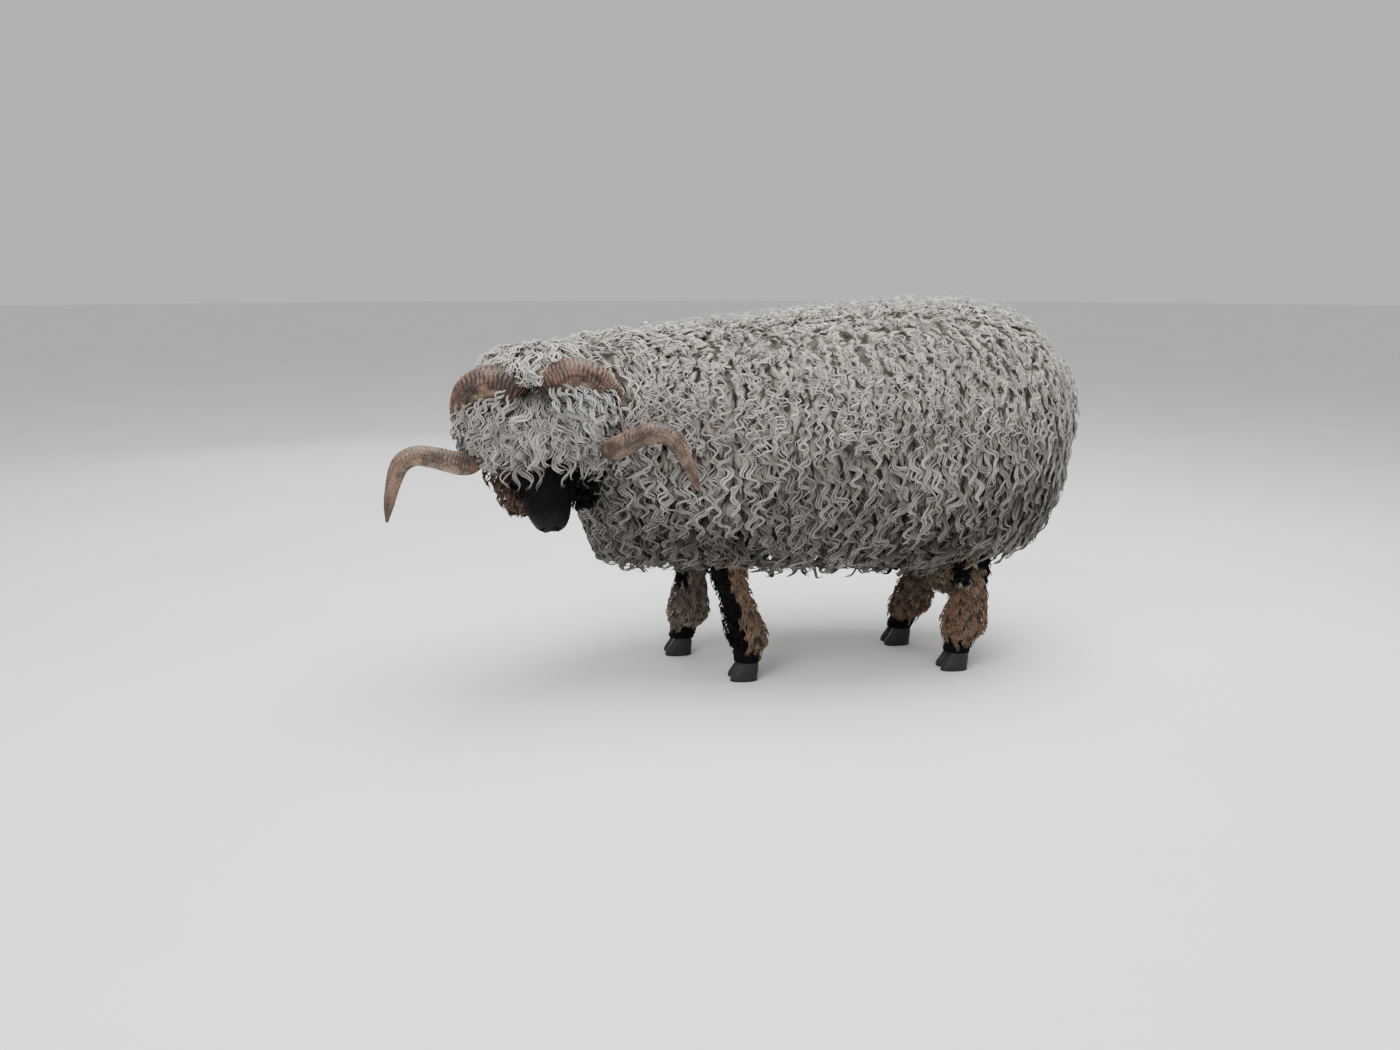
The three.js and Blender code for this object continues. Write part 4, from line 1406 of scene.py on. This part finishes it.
# %% Back and flanks
OUT_OF_NECK = ((neck, -0.025),)
FLANK_STARTS = 0.42
under_coat("fleece", trunk, 0, 1, OUT_OF_NECK)
t, angle, low = curl_roots(trunk, 0, 1, 0.0206, OUT_OF_NECK)
upper = low < FLANK_STARTS
t, angle, low = t[upper], angle[upper], low[upper]
coat("fleece_back", trunk, t, angle, falling, FLEECE, "cream_wool",
     reach=between(0.050, 0.070, 0.02 * low), deep=0.012, high=between(-0.005, 0.012), steps=14, members=2,
     apart=0.0026, curl=between(0.85, 1.5), wavelength=between(0.026, 0.036, 0.03 * low),
     width=0.0029 + 0.0022 * low, unruly=1.6 - 1.2 * low, stray=0.32 - 0.3 * low)
t, angle, low = curl_roots(trunk, 0, 1, 0.0260, OUT_OF_NECK)
lower = low >= FLANK_STARTS
t, angle, low = t[lower], angle[lower], low[lower]
coat("fleece_flank", trunk, t, angle, falling, FLEECE, "cream_wool",
     reach=between(0.062, 0.082, 0.03 * low), deep=0.014, high=between(-0.008, 0.014), steps=14, members=3,
     apart=0.0024 + 0.0008 * low, curl=between(0.75, 1.25), wavelength=between(0.038, 0.054, 0.024 * low),
     width=0.0042 + 0.0014 * low, unruly=0.9 - 0.4 * low, stray=0.16, gather=0.35)


# %% [markdown]
# ### Breast and neck
#
# The wool of the breast and the neck hangs in longer locks. The trunk's form ends flat under the
# throat, where real wool closes over the breast, so a small form of its own carries wool across it.

# %% Breast
BREAST = [
    trunk_station(-500, -6, 0.56, 0.56, 0.88),
    trunk_station(-532, -14, 0.42, 0.42, 0.70),
    trunk_station(-556, -22, 0.26, 0.26, 0.44),
    trunk_station(-570, -26, 0.05, 0.05, 0.10),
]
breast = Form(BREAST, TOP_UP, (0, -1, 0), STAND)
BEFORE_NECK = ((neck, -0.02),)
under_coat("breast_wool", breast, 0.2, 1, BEFORE_NECK)
t, angle = clear_roots(breast, 0.0215, 0.2, 1.0, BEFORE_NECK)
coat("breast_wool", breast, t, angle, falling, FLEECE, "cream_wool",
     reach=between(0.06, 0.09), deep=0.012, high=between(-0.004, 0.012), steps=14, members=3, apart=0.003,
     curl=between(0.8, 1.4), wavelength=between(0.045, 0.065), width=0.0052, unruly=0.8, stray=0.25)


# %% Neck
NECK_CLEAR = ((trunk, -0.02), (head, -0.01))
under_coat("neck_wool", neck, 0.03, 1, NECK_CLEAR)
t, angle, low = curl_roots(neck, 0.03, 1, 0.0205, NECK_CLEAR)
coat("neck_wool", neck, t, angle, falling, FLEECE, "cream_wool",
     reach=between(0.08, 0.11, 0.035 * smooth(0.6, 0.9, t)), deep=0.012, high=between(0.0, 0.014), steps=16,
     members=2, apart=0.003, curl=between(0.7, 1.25), wavelength=between(0.042, 0.062),
     width=0.0036 + 0.0026 * low, blunt=0.12, unruly=1.3 - 0.5 * low, stray=0.2)


# %% [markdown]
# ### Loose fibres
#
# A fleece has no hard outline: single fibres stand out of it and catch the light. A few thin strands
# over the back are enough. More of them would look like fur, and each costs as much as a lock.

# %% Loose fibres over the back
t, angle = clear_roots(trunk, 0.029, clear_of=BEFORE_NECK)
_, _, _, out = slopes(trunk, t, angle, 0.0)
over = out[:, 2] > 0.05
coat("loose_fibres", trunk, t[over], angle[over], falling, FLEECE, "cream_wool",
     reach=between(0.03, 0.05), deep=-0.004, high=between(0.012, 0.019), steps=8, members=1, apart=0.002,
     curl=between(0.9, 1.6), wavelength=between(0.018, 0.03), width=0.0013, stray=0.9, unruly=3.0)


# %% [markdown]
# ### Topknot and fringe
#
# From a parting between the horns the topknot falls down the nose and to both sides, in long, limp
# locks that end in points. The fringe's last wisps hang past it over the face on a form that runs on
# under them, because on the topknot's own form they would all stop at its end in a straight edge.

# %% Topknot
ALONG_NOSE = HEAD_PLACE[:3, :3] @ np.array([0.0, 1.0, 0.0])
ACROSS = HEAD_PLACE[:3, :3] @ np.array([1.0, 0.0, 0.0])


def parting(point, normal):
    """Down the nose and away from the middle, less so near the middle."""
    x = in_head(point)[:, :1]
    return ALONG_NOSE + np.array([0, 0, -0.5]) + ACROSS * np.tanh(x / 60) * 0.75


t, angle = roots(topknot, 0.0172, 0.03, 0.68)
over_face = 1 - smooth(0.2, 0.9, np.abs(np.cos(angle)))
longest = np.clip(0.155 - 0.19 * t, 0.032, 0.2) + 0.012 * over_face
coat("topknot_wool", topknot, t, angle, parting, FRINGE, "cream_wool",
     reach=between(0.5, 1.28, times=longest), deep=0.010, high=between(-0.008, 0.014), steps=15, members=4,
     apart=0.0024, curl=between(0.45, 1.1), wavelength=between(0.058, 0.095), width=0.0040, blunt=0.04,
     unruly=1.4, gather=0.12, stray=0.26)


# %% Wisps of the fringe
FRINGE_FALL = [
    (0, 40, -12, 88, 40, 44),
    (0, 80, -20, 134, 55, 50),
    (0, 120, -28, 150, 60, 52),
    (0, 160, -38, 130, 57, 50),
    (0, 195, -50, 100, 57, 50),
    (0, 230, -62, 72, 61, 50),
    (0, 262, -70, 54, 58, 48),
    (0, 285, -78, 40, 40, 36),
]
fringe_fall = head_form(FRINGE_FALL)
t, angle = roots(fringe_fall, 0.0215, 0.06, 0.44)
front = np.sin(angle) > 0.05
t, angle = t[front], angle[front]
coat("fringe_wisps", fringe_fall, t, angle, parting, FRINGE, "cream_wool",
     reach=between(0.045, 0.095, 0.01 * (t > 0.3)), deep=0.014, high=between(-0.004, 0.010), steps=15, members=4,
     apart=0.0019, curl=between(0.45, 1.0), wavelength=between(0.06, 0.095), width=0.0032, blunt=0.03,
     unruly=1.5, gather=0.10, stray=0.3)


# %% Sides of the topknot, under the horns
SIDE_FALL = [
    (0, 14, -14, 96, 48, 44),
    (0, 36, -10, 158, 66, 52),
    (0, 70, -12, 182, 70, 56),
    (0, 110, -20, 182, 64, 54),
]
side_fall = head_form(SIDE_FALL)
t, angle = roots(side_fall, 0.0135, 0.0, 0.85)
wide = (np.abs(np.cos(angle)) > 0.30) & (np.sin(angle) > -0.35)
t, angle = t[wide], angle[wide]
coat("topknot_sides", side_fall, t, angle, parting, FRINGE, "cream_wool",
     reach=between(0.05, 0.09), deep=0.04, high=between(-0.024, -0.002), steps=14, members=2, apart=0.003,
     curl=between(0.4, 0.95), wavelength=between(0.045, 0.07), width=0.0054, blunt=0.06, unruly=1.6, gather=0.3)


# %% Poll tuft, between the horns and the neck
t, angle = roots(poll, 0.016, 0.03, 0.97)
coat("poll_wool_under", poll, t, angle, parting, UNDER_WOOL, "brown_wool",
     reach=between(0.04, 0.06), deep=0.016, high=between(-0.008, -0.002), steps=6, members=1, apart=0.003,
     curl=0.4, wavelength=0.05, width=between(0.012, 0.017), flat=0.4)
t, angle = roots(poll, 0.0125, 0.03, 0.97)
coat("poll_wool", poll, t, angle, parting, FLEECE, "brown_wool",
     reach=between(0.055, 0.095), deep=0.008, high=between(-0.002, 0.017), steps=13, members=2, apart=0.0035,
     curl=between(0.5, 1.2), wavelength=between(0.036, 0.06), width=0.0042, blunt=0.1, unruly=2.0, gather=0.4,
     stray=0.35)


# %% [markdown]
# ### Cheeks and throat
#
# A tuft hangs from each cheek, rust brown on the right and black on the left, and cream wool hangs from
# the throat behind them. A few broad locks lie under each tuft, since light between thin ones alone
# would show straight through it.

# %% Cheek tufts
CHEEK_FALL = [
    (73, 84, -106, 22, 28, 30),
    (80, 118, -116, 32, 39, 40),
    (81, 160, -126, 34, 40, 42),
    (77, 205, -138, 29, 34, 40),
    (71, 243, -150, 20, 24, 30),
    (67, 270, -158, 6, 8, 8),
]
CHEEK_WOOL = {"left": (BLACK_HAIR, 0), "right": (RUST_WOOL, 1)}  # finish, and 1 where the locks are longer


def hanging(point, normal):
    """Down the nose and down to the ground, for the wool of the cheeks."""
    return 0.8 * ALONG_NOSE + np.array([0, 0, -0.6]) + 0 * point


for n, (finish, longer) in CHEEK_WOOL.items():
    form = head_form(CHEEK_FALL, SIDES[n])
    t, angle = roots(form, 0.0150, 0.03, 0.9)
    coat(f"cheek_wool_{n}_under", form, t, angle, hanging, finish, "brown_wool",
         reach=between(0.045, 0.06), deep=0.014, high=between(-0.010, -0.004), steps=5, members=1, apart=0.003,
         curl=0.3, wavelength=0.05, width=between(0.011, 0.015), flat=0.4)
    coat(f"cheek_wool_{n}_locks", form, t, angle, hanging, finish, "brown_wool",
         reach=between(0.045, 0.075, 0.014 * longer), deep=0.008, high=between(0.006, 0.028, 0.004 * longer),
         steps=9, members=3, apart=0.0024, curl=0.8, wavelength=0.042, width=0.0052, unruly=1.4, blunt=0.08)


# %% Throat
THROAT = [
    (-24, 40, -128, 54, 34, 42),
    (-42, 110, -140, 64, 42, 48),
    (-52, 190, -150, 54, 38, 44),
    (-50, 244, -154, 20, 16, 18),
]
throat = head_form(THROAT)
t, angle = roots(throat, 0.0160, 0.03, 0.95)
coat("throat_wool", throat, t, angle, hanging, FLEECE, "cream_wool",
     reach=between(0.05, 0.085), deep=0.01, high=between(0.0, 0.012), steps=13, members=2, apart=0.003,
     curl=between(0.5, 1.0), wavelength=between(0.04, 0.06), width=0.0048, blunt=0.1, unruly=1.5)


# %% [markdown]
# ### Tail, scrotum and legs
#
# The tail carries the same wool as the trunk. The scrotum's is short. On the legs rusty wool covers all
# that the black markings leave free, and close black hair covers the rest. Each root asks the markings
# which of the two it is, so the two coats fit together like a puzzle.

# %% Tail and scrotum
t, angle = roots(tail, 0.018, 0.03, 0.97)
coat("tail_wool", tail, t, angle, falling, FLEECE, "cream_wool",
     reach=between(0.05, 0.075), deep=0.008, high=between(0.0, 0.006), steps=12, members=2, apart=0.003,
     curl=1.0, wavelength=0.032, width=0.0045)
t, angle = roots(scrotum, 0.015, 0.03, 0.97)
coat("scrotum_wool", scrotum, t, angle, falling, LEG_WOOL, "cream_wool",
     reach=between(0.022, 0.034), deep=0.004, high=between(-0.001, 0.003), steps=6, members=2, apart=0.003,
     curl=0.6, wavelength=0.02, width=0.0045)


# %% Legs: wool above and below the knee, black hair on it
for name, form in legs.items():
    t, angle = clear_roots(form, 0.0142, 0.04, 0.97, ((trunk, -0.03),))
    dark = black_mask(form.at(t, angle)) > 0.5
    finish = GREY_LEG_WOOL if name == "fore_right" else LEG_WOOL
    coat(name + "_wool", form, t[~dark], angle[~dark], falling, finish, "cream_wool",
         reach=between(0.03, 0.048), deep=0.009, high=between(-0.003, 0.004), steps=8, members=3, apart=0.0027,
         curl=0.8, wavelength=0.026, width=0.0042, unruly=1.4)
    coat(name + "_hair", form, t[dark], angle[dark], falling, BLACK_HAIR, "black_coat",
         reach=between(0.014, 0.024), deep=0.008, high=between(-0.005, -0.001), steps=5, members=3, apart=0.0024,
         curl=0.3, wavelength=0.03, width=0.0036)


# %% [markdown]
# ### Face and ears
#
# The face has short hair that lies back from the muzzle to the crown, with longer black wool on the
# cheeks behind the eyes. No hair grows within an eye's lids, so the eye stays free.

# %% Hair of the face
def back_up(point, normal):
    """From the muzzle back to the crown, as the hair of a face lies."""
    x, _, z = point.T
    return -ALONG_NOSE + 0.25 * np.stack([np.sin(z * 90), np.sin(x * 80), 0 * x], -1)


def clear_of_eyes(t, angle, least):
    """The roots that lie at least so many millimetres from both eyes, and how far away they lie."""
    spot = in_head(head.at(t, angle))
    away = np.min([np.linalg.norm(spot - EYE_AT / MM * (s, 1, 1), axis=1) for s in (-1, 1)], 0)
    return t[away > least], angle[away > least], away[away > least]


t, angle, _ = clear_of_eyes(*roots(head, 0.0115, 0.12, 0.9), 24)
coat("face_hair", head, t, angle, back_up, BLACK_HAIR, "black_coat",
     reach=between(0.010, 0.017), deep=0.008, high=between(-0.0032, -0.0018, muzzle_swell(t)), steps=4, members=2,
     apart=0.0015, curl=0.1, wavelength=0.03, width=0.0024)


# %% Wool of the face
t, angle = roots(head, 0.0105, 0.3, 0.68)
woolly = (np.abs(np.cos(angle)) > 0.45) & (np.sin(angle) < 0.55)
t, angle, away = clear_of_eyes(t[woolly], angle[woolly], 26)
fluff = smooth(26, 50, away) * (1 - 0.92 * smooth(0.60, 0.78, t))
coat("face_wool", head, t, angle, hanging, BLACK_HAIR, "black_coat",
     reach=0.014 + 0.018 * fluff, deep=0.007, high=between(0.0, 0.012, times=fluff), steps=7, members=2,
     apart=0.0024, curl=0.9 * fluff, wavelength=0.026, width=0.0024 + 0.0022 * fluff, unruly=1.6)


# %% Hair of the ears
for n, form in ears.items():
    t, angle = roots(form, 0.008, 0.03, 0.95)
    tip_ward = form.place[:3, :3] @ unit(form.rows[-1, :3] - form.rows[0, :3])
    coat(f"ear_{n}_hair", form, t, angle, lambda point, normal: tip_ward + 0 * point, BLACK_HAIR, "black_coat",
         reach=between(0.012, 0.02), deep=0.003, high=between(-0.001, 0.002), steps=4, members=3, apart=0.0018,
         curl=0.1, wavelength=0.03, width=0.002)
print("coat pieces:", len(TRIANGLES), "triangles:", sum(TRIANGLES.values()))

# %% [markdown]
# ## Floor, light and camera
#
# A pale floor and broad soft lights show the coat's relief without hard shadows. The camera stands where
# the picture was taken from, found by fitting a camera to the outline of the body. It could be placed
# by eye, but then a difference in outline might be the camera's fault or the ram's.

# %% Floor
FLOOR_RADIUS, FLOOR_SIDES = 40, 96
around = np.arange(FLOOR_SIDES) * 2 * np.pi / FLOOR_SIDES
corners = FLOOR_RADIUS * np.stack([np.cos(around), np.sin(around), 0 * around], -1)
floor_mesh = bpy.data.meshes.new("floor")
floor_mesh.from_pydata(corners.tolist(), [], [list(range(FLOOR_SIDES))])
floor = bpy.data.objects.new("floor", floor_mesh)
bpy.context.collection.objects.link(floor)
floor_finish, tree, shader = material("floor", Roughness=0.9, Specular_IOR_Level=0.2)
cloudy = ramp(tree, noise(tree, object_place(tree), 1.5), [(0.3, (0.81, 0.805, 0.79)), (0.7, (0.85, 0.845, 0.83))])
link(tree, cloudy, shader["Base Color"])
floor_mesh.materials.append(floor_finish)
print("floor radius", FLOOR_RADIUS, "m")

# %% Light
def turn_to(thing, way):
    """Turns a lamp or a camera so that it looks along the way."""
    thing.rotation_euler = Vector(way).to_track_quat("-Z", "Y").to_euler()


def soft_light(name, place, aim, size, watts, colour):
    """A square area light at place, turned to aim."""
    data = bpy.data.lights.new(name, "AREA")
    data.size, data.energy, data.color = size, watts, colour
    lamp = bpy.data.objects.new(name, data)
    lamp.location = place
    turn_to(lamp, Vector(aim) - Vector(place))
    bpy.context.collection.objects.link(lamp)


soft_light("key", (2.6, -2.4, 3.4), (0, -0.1, 0.5), 2.4, 135, (1.0, 0.975, 0.94))
soft_light("top", (0.2, 0.6, 3.6), (0, 0, 0.6), 2.6, 245, (0.98, 0.99, 1.0))
soft_light("fill", (-3.4, -1.2, 2.0), (0, 0, 0.5), 3.0, 30, (0.94, 0.97, 1.0))
world = bpy.data.worlds.new("studio")
world.use_nodes = True
sky = world.node_tree.nodes["Background"].inputs
sky["Color"].default_value, sky["Strength"].default_value = (0.86, 0.87, 0.88, 1), 0.70
bpy.context.scene.world = world
print("lights:", [lamp.name for lamp in bpy.data.lights])

# %% Camera
CAMERA_AT = Vector((2.43, -0.60, 0.935))
TURN, DIP = np.radians(82.3), np.radians(13.3)  # from the ram's tail towards its left, and downwards
SENSOR, FOCAL, IMAGE_WIDTH = 36, 1052, 1400  # millimetres, and pixels
camera = bpy.data.objects.new("camera", bpy.data.cameras.new("camera"))
bpy.context.collection.objects.link(camera)
camera.location = CAMERA_AT + Vector(SHIFT)
turn_to(camera, (-np.sin(TURN) * np.cos(DIP), np.cos(TURN) * np.cos(DIP), -np.sin(DIP)))
camera.data.sensor_width, camera.data.lens = SENSOR, SENSOR * FOCAL / IMAGE_WIDTH
bpy.context.scene.camera = camera
print("camera at", [round(v, 3) for v in camera.location], "lens", round(camera.data.lens, 1), "mm")
